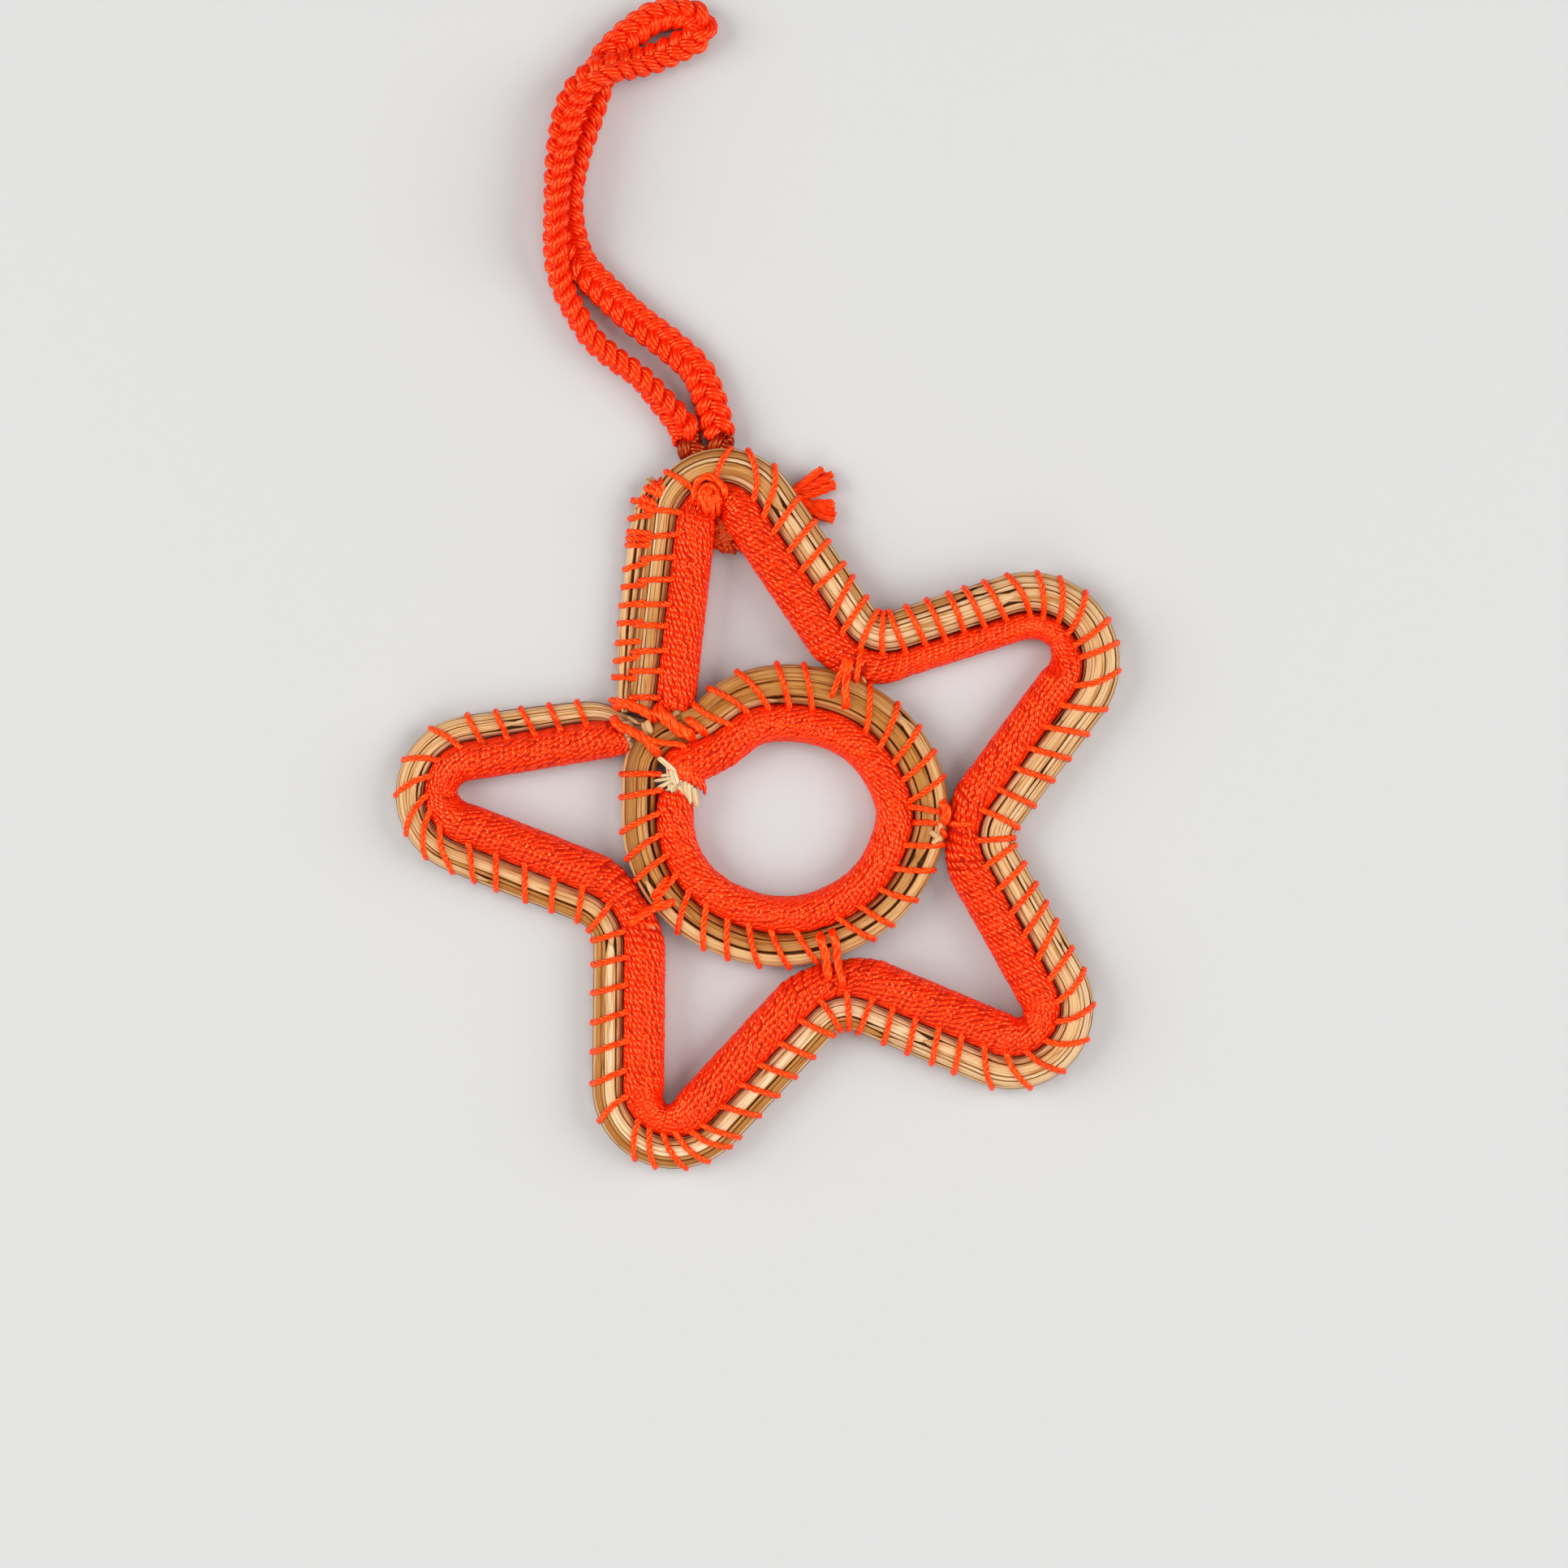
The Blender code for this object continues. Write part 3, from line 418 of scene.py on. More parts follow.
class Pile:
    """Collects closed strands and makes one mesh of them."""

    def __init__(self):
        self.corners = []
        self.faces = []
        self.caps = []
        self.marks = []
        self.count = 0

    def tube(self, middles, sideways, upwards, outline, mark=None):
        """A strand through middles; outline holds (side, up) corners, fixed or per row."""
        outline = np.asarray(outline, float)
        if outline.ndim == 2:
            outline = np.broadcast_to(outline, (len(middles), *outline.shape))
        corners = (middles[:, None, :] + sideways[:, None, :] * outline[:, :, :1]
                   + upwards[:, None, :] * outline[:, :, 1:])
        rows, sides = corners.shape[:2]
        index = self.count + np.arange(rows * sides).reshape(rows, sides)
        around = np.roll(index, -1, axis=1)
        quads = np.stack((index[:-1], around[:-1], around[1:], index[1:]), axis=-1)
        self.corners.append(corners.reshape(-1, 3))
        self.faces.append(quads.reshape(-1, 4))
        self.caps.append(index[0][::-1].tolist())
        self.caps.append(index[-1].tolist())
        if mark is None:
            mark = np.zeros((rows, sides, 3))
        self.marks.append(mark.reshape(-1, 3))
        self.count += rows * sides

    def build(self, name, finish, *replaced):
        corners = (np.concatenate(self.corners) + HUB) * MM
        faces = np.concatenate(self.faces).tolist() + self.caps
        mesh = bpy.data.meshes.new(name)
        mesh.from_pydata(corners.tolist(), [], faces)
        mesh.shade_smooth()
        mark = mesh.attributes.new("strand", "FLOAT_VECTOR", "POINT")
        mark.data.foreach_set("vector", np.concatenate(self.marks).ravel())
        mesh.materials.append(finish)
        mesh.update()
        thing = add_object(name, mesh)
        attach(thing, "root")
        if replaced:
            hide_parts(*replaced)
        return thing


def add_object(name, data):
    thing = bpy.data.objects.new(name, data)
    bpy.context.collection.objects.link(thing)
    return thing


def unit(vectors):
    return vectors / np.linalg.norm(vectors, axis=-1, keepdims=True)


def level(directions):
    """Flat directions as directions in space."""
    return np.column_stack((directions, np.zeros(len(directions))))


def circle(sides, radius):
    turn = np.arange(sides) * TURN / sides
    return np.stack((np.cos(turn), np.sin(turn)), axis=-1) * radius


def lengths(points):
    steps = np.linalg.norm(np.diff(points, axis=0), axis=1)
    return np.concatenate(([0.0], np.cumsum(steps)))


def smooth(points, step):
    """Evenly spaced points on a smooth curve through the given ones."""
    points = np.asarray(points, float)
    ends = np.vstack((points[0] * 2 - points[1], points, points[-1] * 2 - points[-2]))
    t = np.linspace(0.0, 1.0, CURVE_SAMPLES, endpoint=False)[:, None]
    fine = []
    for a, b, c, d in zip(ends, ends[1:], ends[2:], ends[3:]):
        fine.append(0.5 * (2 * b + (c - a) * t + (2 * a - 5 * b + 4 * c - d) * t ** 2
                           + (3 * b - 3 * c + d - a) * t ** 3))
    fine = np.vstack((*fine, points[-1:]))
    far = lengths(fine)
    goals = np.linspace(0.0, far[-1], max(3, round(far[-1] / step) + 1))
    return np.stack([np.interp(goals, far, fine[:, k]) for k in range(fine.shape[1])], axis=-1)


def frames(points, first_up=UP):
    """Along, sideways and up directions that turn as little as they can."""
    along = unit(np.gradient(points, axis=0))
    up = np.empty_like(points)
    current = np.asarray(first_up, float)
    for k, way in enumerate(along):
        current = current - way * current.dot(way)
        current /= np.linalg.norm(current)
        up[k] = current
    return along, np.cross(along, up), up


def cross_frame(middles, lean):
    """Directions across a strand and away from it, square to its way."""
    way = unit(np.gradient(middles, axis=0))
    across = unit(np.cross(way, lean))
    return across, np.cross(across, way)


def marks(along, across, tone):
    """Where a strand's corners lie in its material's pattern, and its tone."""
    return np.stack(np.broadcast_arrays(along[:, None], across, tone), axis=-1)


def wander(count, reach, size):
    """Smooth random offsets, with a bend about every reach entries."""
    knots = max(3, int(count / reach) + 2)
    return np.interp(np.linspace(0, knots - 1, count), np.arange(knots),
                     rng.uniform(-size, size, knots))


def lay_plies(pile, points, up, along, twist, count, ply, arms, sides):
    """Plies round a line, twisted by the given angles; arms are their sideways and upward reach."""
    far = lengths(points)
    side = np.cross(along, up)
    for start in np.arange(count) * TURN / count:
        turn = (twist + start)[:, None]
        middles = points + side * np.sin(turn) * arms[0] + up * np.cos(turn) * arms[1]
        lean = side * np.sin(turn) * arms[1] + up * np.cos(turn) * arms[0]
        mark = marks(far + rng.uniform(0.0, PATTERN_REACH),
                     np.abs(np.arange(sides) / sides * 2 - 1), rng.random())
        pile.tube(middles, *cross_frame(middles, lean), circle(sides, ply), mark)


def lay_twine(pile, route, first_up=UP, twine=TWINE, lay=TWINE_LAY, step=0.28, sides=5):
    """Twine along a smooth route."""
    points = smooth(route, step)
    along, _, up = frames(points, first_up)
    twist = TURN * lengths(points) / lay + rng.uniform(0, TURN)
    ply = twine / 2 * PLY_SHARE
    lay_plies(pile, points, up, along, twist, count=3, ply=ply, arms=(twine / 2 - ply,) * 2,
              sides=sides)


def lay_band(pile, route, width):
    """Several turns of twine merged to a flat band along a smooth route."""
    points = smooth(route, BAND_STEP)
    along, _, up = frames(points)
    count = round(width / BAND_PLY)
    twist = TURN * lengths(points) / BAND_LAY + rng.uniform(0, TURN)
    for k in range(count):
        loose = wander(len(points), BAND_BENDS, BAND_WANDER) + TURN * k / count
        arms = (width / 2 - BAND_PLY + rng.uniform(-BAND_LOOSE[0], BAND_LOOSE[0]),
                BAND_RISE + rng.uniform(-BAND_LOOSE[1], BAND_LOOSE[1]))
        kept = slice(rng.integers(0, BAND_ENDS), len(points) - rng.integers(0, BAND_ENDS))
        lay_plies(pile, points[kept], up[kept], along[kept], (twist + loose)[kept], count=1,
                  ply=BAND_PLY, arms=arms, sides=6)


def add_flat(pile, points, side, up, half, mark):
    """A flat needle of the given half widths."""
    shape = np.stack((half, np.full(len(points), NEEDLE_THICKNESS / 2)), -1)
    pile.tube(points, side, up, NEEDLE_OUTLINE * shape[:, None, :], mark)


def lay_splinter(pile, route, width, tone):
    """A flat broken needle with blunt ends."""
    points = smooth(route, SPLINTER_STEP)
    _, side, up = frames(points)
    half = width / 2 * np.interp(np.linspace(0.0, 1.0, len(points)), *SPLINTER_WIDTHS)
    far = lengths(points) + rng.uniform(0.0, SPLINTER_PATTERN)
    add_flat(pile, points, side, up, half, marks(far, NEEDLE_OUTLINE[:, 0] * SPLINTER_RIM, tone))


# Seams

class Seam:
    """Places, outward directions and thicknesses along a distance."""

    def __init__(self, places, normals, wraps, bares):
        self.far = lengths(places)
        self.places = places
        self.normals = np.unwrap(np.radians(normals))
        self.wraps = wraps
        self.bares = bares

    def at(self, distance):
        """Place, outward direction, wrapped radius and bare radius."""
        place = np.stack([np.interp(distance, self.far, self.places[:, k]) for k in (0, 1)], -1)
        angle = np.interp(distance, self.far, self.normals)
        normal = np.stack((np.cos(angle), np.sin(angle)), -1)
        wrap = np.interp(distance, self.far, self.wraps) / 2
        bare = np.interp(distance, self.far, self.bares) / 2
        return place, normal, wrap, bare

    def radii(self, distance):
        return self.at(distance)[2:]

    def space(self, distance, out, height):
        place, normal, _, _ = self.at(distance)
        flat = place + normal * np.asarray(out)[..., None]
        return np.concatenate((flat, np.broadcast_to(height, flat.shape[:-1])[..., None]), -1)


def leg_normal(start, start_round, end, end_round):
    along = end - start
    off = math.degrees(math.acos((start_round - end_round) / np.linalg.norm(along)))
    return math.degrees(math.atan2(along[1], along[0])) + off


def star_seam():
    """The star's seam, clockwise, and the distance to the middle of each tip and notch."""
    bends = []
    for point, after in zip(STAR_POINTS, STAR_POINTS[1:] + STAR_POINTS[:1]):
        bends.append((ray(point.tip_angle) * point.tip_reach, point.tip_round,
                      (point.wrap_before, point.wrap_tip, point.wrap_after),
                      (point.bare_before, point.bare_after)))
        bends.append((ray(point.notch_angle) * point.notch_reach, -point.notch_round,
                      (point.wrap_after, point.wrap_notch, after.wrap_before),
                      (point.bare_after, after.bare_before)))
    normals = [leg_normal(*bends[i - 1][:2], *bends[i][:2]) for i in range(len(bends))]
    middle, rounding, last_wraps, last_bares = bends[-1]
    start = middle + ray(normals[0]) * rounding + ray(normals[0] + 90.0) * LEG_OVERRUN
    rows = [(start, normals[0], last_wraps[-1], last_bares[-1])]
    middles = []
    for (middle, rounding, wraps, bares), normal, after in zip(bends, normals, normals[1:]):
        turn = (after - normal) % 360.0
        if rounding > 0:
            turn -= 360.0
        steps = max(4, round(math.radians(abs(turn)) * abs(rounding) / SEAM_STEP / 2) * 2)
        for k in range(steps + 1):
            share = k / steps
            angle = normal + turn * share
            wrap = np.interp(share, (0.0, 0.5, 1.0), wraps)
            bare = np.interp(share, (0.0, 0.5, 1.0), (bares[0], sum(bares) / 2, bares[1]))
            rows.append((middle + ray(angle) * rounding, angle, wrap, bare))
        middles.append(len(rows) - 1 - steps // 2)
    middle, rounding, last_wraps, last_bares = bends[-1]
    end = middle + ray(normals[-1]) * rounding + ray(normals[-1] - 90.0) * LEG_OVERRUN
    rows.append((end, normals[-1], last_wraps[0], last_bares[0]))
    seam = Seam(*(np.array(column) for column in zip(*rows)))
    seam.far -= LEG_OVERRUN
    for size, place, spread in FOOT_BENDS:
        bend = size * np.exp(-((seam.far - place) / spread) ** 2)
        seam.places = seam.places + ray(normals[0]) * bend[:, None]
    away = seam.far[-1] - LEG_OVERRUN - seam.far
    seam.bares = seam.bares * np.interp(away, LAST_LEG_FADE, (LAST_LEG_SHARE, 1.0))
    seam.bares = seam.bares * np.interp(seam.far, FIRST_LEG_FADE, (FIRST_LEG_SHARE, 1.0))
    return seam, seam.far[middles]


def swelling(angle, size, middle, spread):
    away = (angle - middle + 180.0) % 360.0 - 180.0
    return size * math.exp(-(away / spread) ** 2)


def ring_spot(angle):
    across = abs(ray(angle)[0] / RING_SEAM_X) ** RING_FULLNESS
    upwards = abs(ray(angle)[1] / RING_SEAM_Y) ** RING_FULLNESS
    oval = (across + upwards) ** (-1 / RING_FULLNESS)
    bulge = sum(swelling(angle, *each) for each in RING_BULGES)
    return np.array(RING_MIDDLE) + ray(angle) * (oval + bulge)


def ring_seam():
    """The ring's seam, anticlockwise for a turn and a half, and its distance by angle."""
    places = np.array([ring_spot(angle) for angle in RING_ANGLES])
    along = np.gradient(places, axis=0)
    normals = np.degrees(np.arctan2(-along[:, 0], along[:, 1]))
    seam = Seam(places, normals, np.full(len(places), RING_WRAP),
                np.interp(RING_ANGLES % 360.0, *RING_BARES))
    return seam, lambda angle: np.interp(angle, RING_ANGLES, seam.far)


# Coils

# What differs along a wrapped coil: how far its turns lean, with the outer side further back,
# its share of the full radius, its width for its height, and how far outwards it is pushed.
Form = namedtuple("Form", "slant fullness width push")


class Line:
    """A coil's middle line, its sideways directions and its half width and half height."""

    def __init__(self, points, side, width, height):
        self.points = points
        self.side = side
        self.width = width
        self.height = height
        self.up = np.broadcast_to(UP, points.shape)

    def part(self, first, last):
        kept = slice(first, last)
        return Line(self.points[kept], self.side[kept], self.width[kept], self.height[kept])

    def top(self, spots):
        """Height of the coil's upper side at flat places, or zero beside it."""
        gap = np.linalg.norm(spots[:, None, :] - self.points[None, :, :2], axis=-1)
        near = gap.argmin(axis=1)
        share = np.minimum(1.0, gap.min(axis=1) / self.width[near])
        rise = self.height[near] * np.sqrt(1.0 - share ** 2)
        return np.where(share < 1.0, self.points[near, 2] + rise, 0.0)


def coil_line(seam, distance, out, middle, width, height):
    """A coil whose middle lies out of the seam, at a height."""
    _, normal, _, _ = seam.at(distance)
    return Line(seam.space(distance, out, middle), level(normal), width, height)


def bare_sizes(bare):
    """Half width, half height and middle height of a bare coil."""
    half_height = bare * BARE_HEIGHT
    return bare, half_height, half_height + TWINE * BARE_LIFT


def bare_line(seam, distance):
    _, bare = seam.radii(distance)
    half, tall, middle = bare_sizes(bare)
    return coil_line(seam, distance, half, middle, half, tall)


def row_line(seam):
    """The second row, up the left side of the top point."""
    row = np.arange(ROW_START, ROW_STOP, ROW_STEP)
    _, bare = seam.radii(np.maximum(row, 0.0))
    half, height, middle = bare_sizes(np.full(len(row), ROW_THICKNESS / 2))
    width = half * np.interp(row, *ROW_WIDTHS)
    flat = seam.space(row, 2 * bare + width - ROW_SINK, 0.0)[:, :2]
    along = unit(np.gradient(flat, axis=0))
    side = np.column_stack((-along[:, 1], along[:, 0], np.zeros(len(row))))
    middle = middle + np.interp(row, *ROW_LIFTS)
    return Line(np.column_stack((flat, middle)), side, width, height)


def wind(pile, seam, start, end, hand, shape):
    """Twine wound round the wrapped coil, with its plies pressed flat against their neighbours."""
    pitch = WINDING_PITCH * WINDING_STARTS
    turns = (end - start) / pitch
    speed = TURN * LAYS_ROUND
    waves = rng.uniform(-1.0, 1.0, (SHARED_WAVES, 3)) * SHARED_RANGE
    for first in range(WINDING_STARTS):
        knots = np.arange(0.0, turns + WANDER_MARGIN, WANDER_STEP)
        drift, swell, twist = rng.uniform(-1.0, 1.0, (3, len(knots)))
        for ply in (0.0, np.pi):
            lays = np.arange(math.ceil(turns * LAYS_ROUND) + 1)
            phase = (lays[:, None] * TURN + np.radians(PLY_SAMPLES)).ravel()
            turn = phase / speed
            spin = np.sin(turn[:, None] * (TURN * waves[:, 0] + pitch * waves[:, 1]) + waves[:, 2])
            spin = spin.sum(axis=1) * SHARED_WANDER
            turn = (phase + spin - np.interp(turn, knots, twist) * TWIST_WANDER + ply) / speed
            height = np.sin(TURN * (turn - first / WINDING_STARTS) * hand)
            coarse = np.tile(PLY_COARSE, len(lays))
            kept = (turn >= 0.0) & (turn <= turns) & (coarse | (height > COARSE_BELOW))
            turn, phase = turn[kept], phase[kept][:, None]
            lay_ply(pile, seam, phase, hand * TURN * (turn - first / WINDING_STARTS),
                    start + pitch * turn + np.interp(turn, knots, drift) * DRIFT_WANDER,
                    np.interp(turn, knots, swell) * SWELL_WANDER, shape)


def lay_ply(pile, seam, phase, angle, distance, swell, shape):
    """One ply, by its twist, its angle round the coil and its distance along it."""
    distance = np.clip(distance, seam.far[0], seam.far[-1])
    form = shape(distance)
    distance = distance - form.slant * np.cos(angle)
    _, normal, wrap, _ = seam.at(distance)
    radius = wrap * form.fullness - PLY_HEIGHTS[1][0] - PLY_DEPTH + swell
    out = (radius * np.cos(angle) - wrap) * form.width + form.push
    points = seam.space(distance, out, wrap + radius * np.sin(angle))
    up = np.column_stack((normal * np.cos(angle)[:, None], np.sin(angle)))
    way = unit(np.gradient(points, axis=0))
    height = np.interp(np.degrees(np.arccos(np.cos(phase))), *PLY_HEIGHTS)
    middles = points + up * height + np.cross(way, up) * np.sin(phase) * PLY_SWING
    mark = marks(lengths(middles) + rng.uniform(0.0, PATTERN_REACH),
                 PLY_OUTLINE[:, 0] * PLY_WIDTH, rng.random())
    pile.tube(middles, *cross_frame(middles, up), PLY_OUTLINE * (PLY_WIDTH, PLY_DEPTH), mark)


def fill(pile, line, inset=0.0):
    """A plain oval filling inside a coil, so that its gaps show its painted shade and not through
    it.
    """
    sizes = np.stack((line.width - inset, line.height - inset), -1)
    outline = circle(FILL_SIDES, 1.0)[None] * sizes[:, None, :]
    pile.tube(line.points, line.side, line.up, outline)


def fill_wrapped(seam, start, end, shape):
    """The filling of a wrapped coil, which shows as painted shade between its windings."""
    distance = np.arange(start, end, FILL_STEP)
    wrap, _ = seam.radii(distance)
    form = shape(distance)
    size = wrap * form.fullness - WINDING_FILL
    pile = Pile()
    fill(pile, coil_line(seam, distance, form.push - wrap * form.width, wrap,
                         size * form.width, size))
    return pile


def wrapped_line(seam, distance, shape):
    """A wrapped coil as it lies under the ties."""
    wrap, _ = seam.radii(distance)
    width = wrap * shape(distance).width
    return coil_line(seam, distance, -width, wrap, width, wrap)


def lay_needles(pile, line, tones):
    """Flat needles side by side round an oval coil, each one ending somewhere along it."""
    rows = len(line.points)
    step = np.mean(np.diff(lengths(line.points)))
    wide, tall = line.width.mean(), line.height.mean()
    around = math.pi * (3 * (wide + tall) - math.sqrt((3 * wide + tall) * (wide + 3 * tall)))
    tracks = max(NEEDLE_TRACKS, round(around / NEEDLE_WIDTH))
    bounds = np.cumsum(rng.choice(NEEDLE_WIDTHS, tracks))
    bounds = bounds / bounds[-1] * TURN
    for k in range(tracks):
        low = bounds[k - 1] if k > 0 else 0.0
        begin = -rng.uniform(0.0, NEEDLE_START)
        while begin < rows * step:
            end = begin + rng.uniform(*NEEDLE_LENGTHS)
            first = max(0, int(begin / step))
            last = min(rows, int((end + NEEDLE_OVERLAP) / step))
            begin = end
            if last - first < NEEDLE_ROWS:
                continue
            tone = tones[0] + (tones[1] - tones[0]) * rng.random() ** NEEDLE_PALE
            lay_needle(pile, line.part(first, last), (low + bounds[k]) / 2, (bounds[k] - low) / 2,
                       (first, last, rows), tone, step)


def lay_needle(pile, line, angle, half, span, tone, step):
    """One needle, by its angle round the coil and half of the angle that it takes up."""
    count = len(line.points)
    drift = angle + wander(count, NEEDLE_BENDS / step, half * NEEDLE_DRIFT)
    sink = rng.uniform(-NEEDLE_SINK[0], NEEDLE_SINK[0])
    sink = sink + wander(count, NEEDLE_BENDS / step, NEEDLE_SINK[1])
    wide = line.width - NEEDLE_THICKNESS / 2 + sink
    tall = line.height - NEEDLE_THICKNESS / 2 + sink
    cos, sin = np.cos(drift)[:, None], np.sin(drift)[:, None]
    middles = line.points + line.side * cos * wide[:, None] + line.up * sin * tall[:, None]
    lift = unit(line.side * cos * tall[:, None] + line.up * sin * wide[:, None])
    along = unit(np.gradient(line.points, axis=0))
    reach = half * np.sqrt((wide * np.sin(drift)) ** 2 + (tall * np.cos(drift)) ** 2)
    reach = reach * rng.choice(NEEDLE_REACHES[0], p=NEEDLE_REACHES[1])
    taper = np.ones(count)
    tip = NEEDLE_TIP + np.arange(count) * step / NEEDLE_TAPER
    if span[0] > 0:
        taper = np.minimum(taper, tip)
    if span[1] < span[2]:
        taper = np.minimum(taper, tip[::-1])
    far = (span[0] + np.arange(count)) * step + tone * NEEDLE_PATTERN
    add_flat(pile, middles, np.cross(lift, along), lift, reach * taper,
             marks(far, NEEDLE_OUTLINE[:, 0], tone))


def lay_coil(line, name, finishes, *replaced, tones):
    """A bare coil: its needles and the filling between them, coloured as painted shade."""
    pile = Pile()
    lay_needles(pile, line, tones)
    pile.build(name, finishes.needles, *replaced)
    pile = Pile()
    fill(pile, line, NEEDLE_FILL)
    # near-black filling: painted shade seen in the gaps between the needles
    pile.build(name + "_filling", finishes.dark_needles)


# Stitches

def around_oval(out, height, width, tall, angles):
    """Outs and heights round an oval, pressed a little into it."""
    grip = TWINE * STITCH_GRIP
    turn = np.radians(angles)
    return np.column_stack((out + (width + grip) * np.cos(turn),
                            height + (tall + grip) * np.sin(turn)))


def wrapped_top(wrap, out):
    return wrap + math.sqrt(wrap ** 2 - (wrap + out) ** 2)


def stitch_route(seam, distance, lean, forward):
    """Over the bare coil and back under it, both ends pierced into the wrapped coil.

    lean is how far the outer end is turned anticlockwise from square to the seam, and
    forward is 1 where the seam itself runs anticlockwise, else -1.
    """
    wrap, bare = seam.radii(distance)
    half, tall, middle = bare_sizes(bare)
    inner = rng.uniform(*STITCH_DEPTHS)
    section = np.vstack((
        np.array(STITCH_START) + (inner, wrapped_top(wrap, inner)),
        (STITCH_EDGE[0], wrapped_top(wrap, STITCH_EDGE[0]) + STITCH_EDGE[1]),
        around_oval(half, middle, half, tall, STITCH_ARC),
        np.array(STITCH_BACK) * (1.0, TWINE),
    ))
    slope = forward * math.tan(math.radians(lean))
    widest = section[:, 0].argmax()
    reach = section[widest, 0]
    back = np.arange(len(section)) > widest
    shift = np.where(back, reach - (reach - section[:, 0]) * STITCH_BACK_LEAN, section[:, 0])
    return seam.space(distance + shift * slope, section[:, 0], section[:, 1])


def row_stitch_route(seam, distance, lean):
    """Round the second row only, from the groove between the two rows."""
    _, bare = seam.radii(distance)
    half, tall, middle = bare_sizes(ROW_THICKNESS / 2)
    out = 2 * bare + half - ROW_SINK
    section = np.vstack((
        np.array(ROW_STITCH_START) + (out - half, middle + tall),
        around_oval(out, middle, half, tall, ROW_STITCH_ARC),
        (out - half + ROW_STITCH_BACK[0], TWINE * ROW_STITCH_BACK[1]),
    ))
    shift = -(section[:, 0] - out) * math.tan(math.radians(lean))
    return seam.space(distance + shift, section[:, 0], section[:, 1])


def sew(pile, seam, rows, forward):
    """Rows of stitches: first and last distance, count, and first and last lean."""
    for first, last, count, lean_first, lean_last in rows:
        for share in np.linspace(0.0, 1.0, count):
            distance = first + (last - first) * share + rng.uniform(-STITCH_SLIP, STITCH_SLIP)
            lean = lean_first + (lean_last - lean_first) * share
            lean = lean + rng.uniform(-STITCH_LEAN_SLIP, STITCH_LEAN_SLIP)
            lay_twine(pile, stitch_route(seam, distance, lean, forward))


# Materials

class Look:
    """A material that is built from nodes."""

    def __init__(self, name):
        self.made = bpy.data.materials.new(name)
        self.made.use_nodes = True
        self.tree = self.made.node_tree
        self.shader = self.tree.nodes["Principled BSDF"]

    def put(self, socket, value):
        """Sets a socket to a value, or links another node's output to it."""
        if isinstance(value, bpy.types.NodeSocket):
            self.tree.links.new(value, socket)
        else:
            socket.default_value = value

    def feed(self, node, **inputs):
        """Fills a node's inputs by name, with _ for each space."""
        for name, value in inputs.items():
            self.put(node.inputs[name.replace("_", " ")], value)

    def node(self, kind, **inputs):
        node = self.tree.nodes.new("ShaderNode" + kind)
        self.feed(node, **inputs)
        return node

    def strand(self):
        """The strand's own coordinates: all three, and the last two alone."""
        strand = self.node("Attribute")
        strand.attribute_name = "strand"
        vector = strand.outputs["Vector"]
        parts = self.node("SeparateXYZ", Vector=vector).outputs
        return vector, parts["Y"], parts["Z"]

    def noise(self, source, scale=1.0, detail=3.0, stretch=None):
        if stretch:
            source = self.node("Mapping", Scale=stretch, Vector=source).outputs["Vector"]
        return self.node("TexNoise", Scale=scale, Detail=detail, Vector=source).outputs["Fac"]

    def object_noise(self, scale):
        return self.noise(self.node("TexCoord").outputs["Object"], scale)

    def ramp(self, source, *stops):
        node = self.node("ValToRGB", Fac=source)
        while len(node.color_ramp.elements) < len(stops):
            node.color_ramp.elements.new(0.5)
        for element, (place, colour) in zip(node.color_ramp.elements, stops):
            element.position = place
            element.color = (*colour, 1.0)
        return node.outputs["Color"]

    def arithmetic(self, operation, *values):
        node = self.node("Math")
        node.operation = operation
        for socket, value in zip(node.inputs, values):
            self.put(socket, value)
        return node.outputs["Value"]

    def multiply(self, first, second):
        node = self.node("Mix")
        node.data_type = "RGBA"
        node.blend_type = "MULTIPLY"
        self.feed(node, Factor=1.0, A=first, B=second)
        return node.outputs["Result"]

    def bump(self, height, strength, depth):
        bump = self.node("Bump", Strength=strength, Distance=depth, Height=height)
        self.feed(self.shader, Normal=bump.outputs["Normal"])


def nylon(name, deep, lit, roughness):
    """Glossy filament nylon: fine filaments along each ply, and plies that differ a little."""
    look = Look(name)
    vector, _, tone = look.strand()
    mixed = look.arithmetic("MULTIPLY_ADD", look.object_noise(500.0), 0.6, tone)
    tint = look.ramp(mixed, (0.25, deep), (1.3 / 1.6, lit))
    look.bump(look.noise(vector, stretch=(1.6, 14.0, 50.0)), strength=0.25, depth=0.05 * MM)
    facing = look.node("LayerWeight", Blend=0.5)
    gloss = look.ramp(facing.outputs["Facing"], (0.45, WHITE), (0.85, (0.1, 0.1, 0.1)))
    look.feed(look.shader, Base_Color=tint, Roughness=roughness, IOR=1.56,
              Specular_IOR_Level=gloss, Specular_Tint=(1.0, 0.52, 0.13, 1.0))
    return look.made


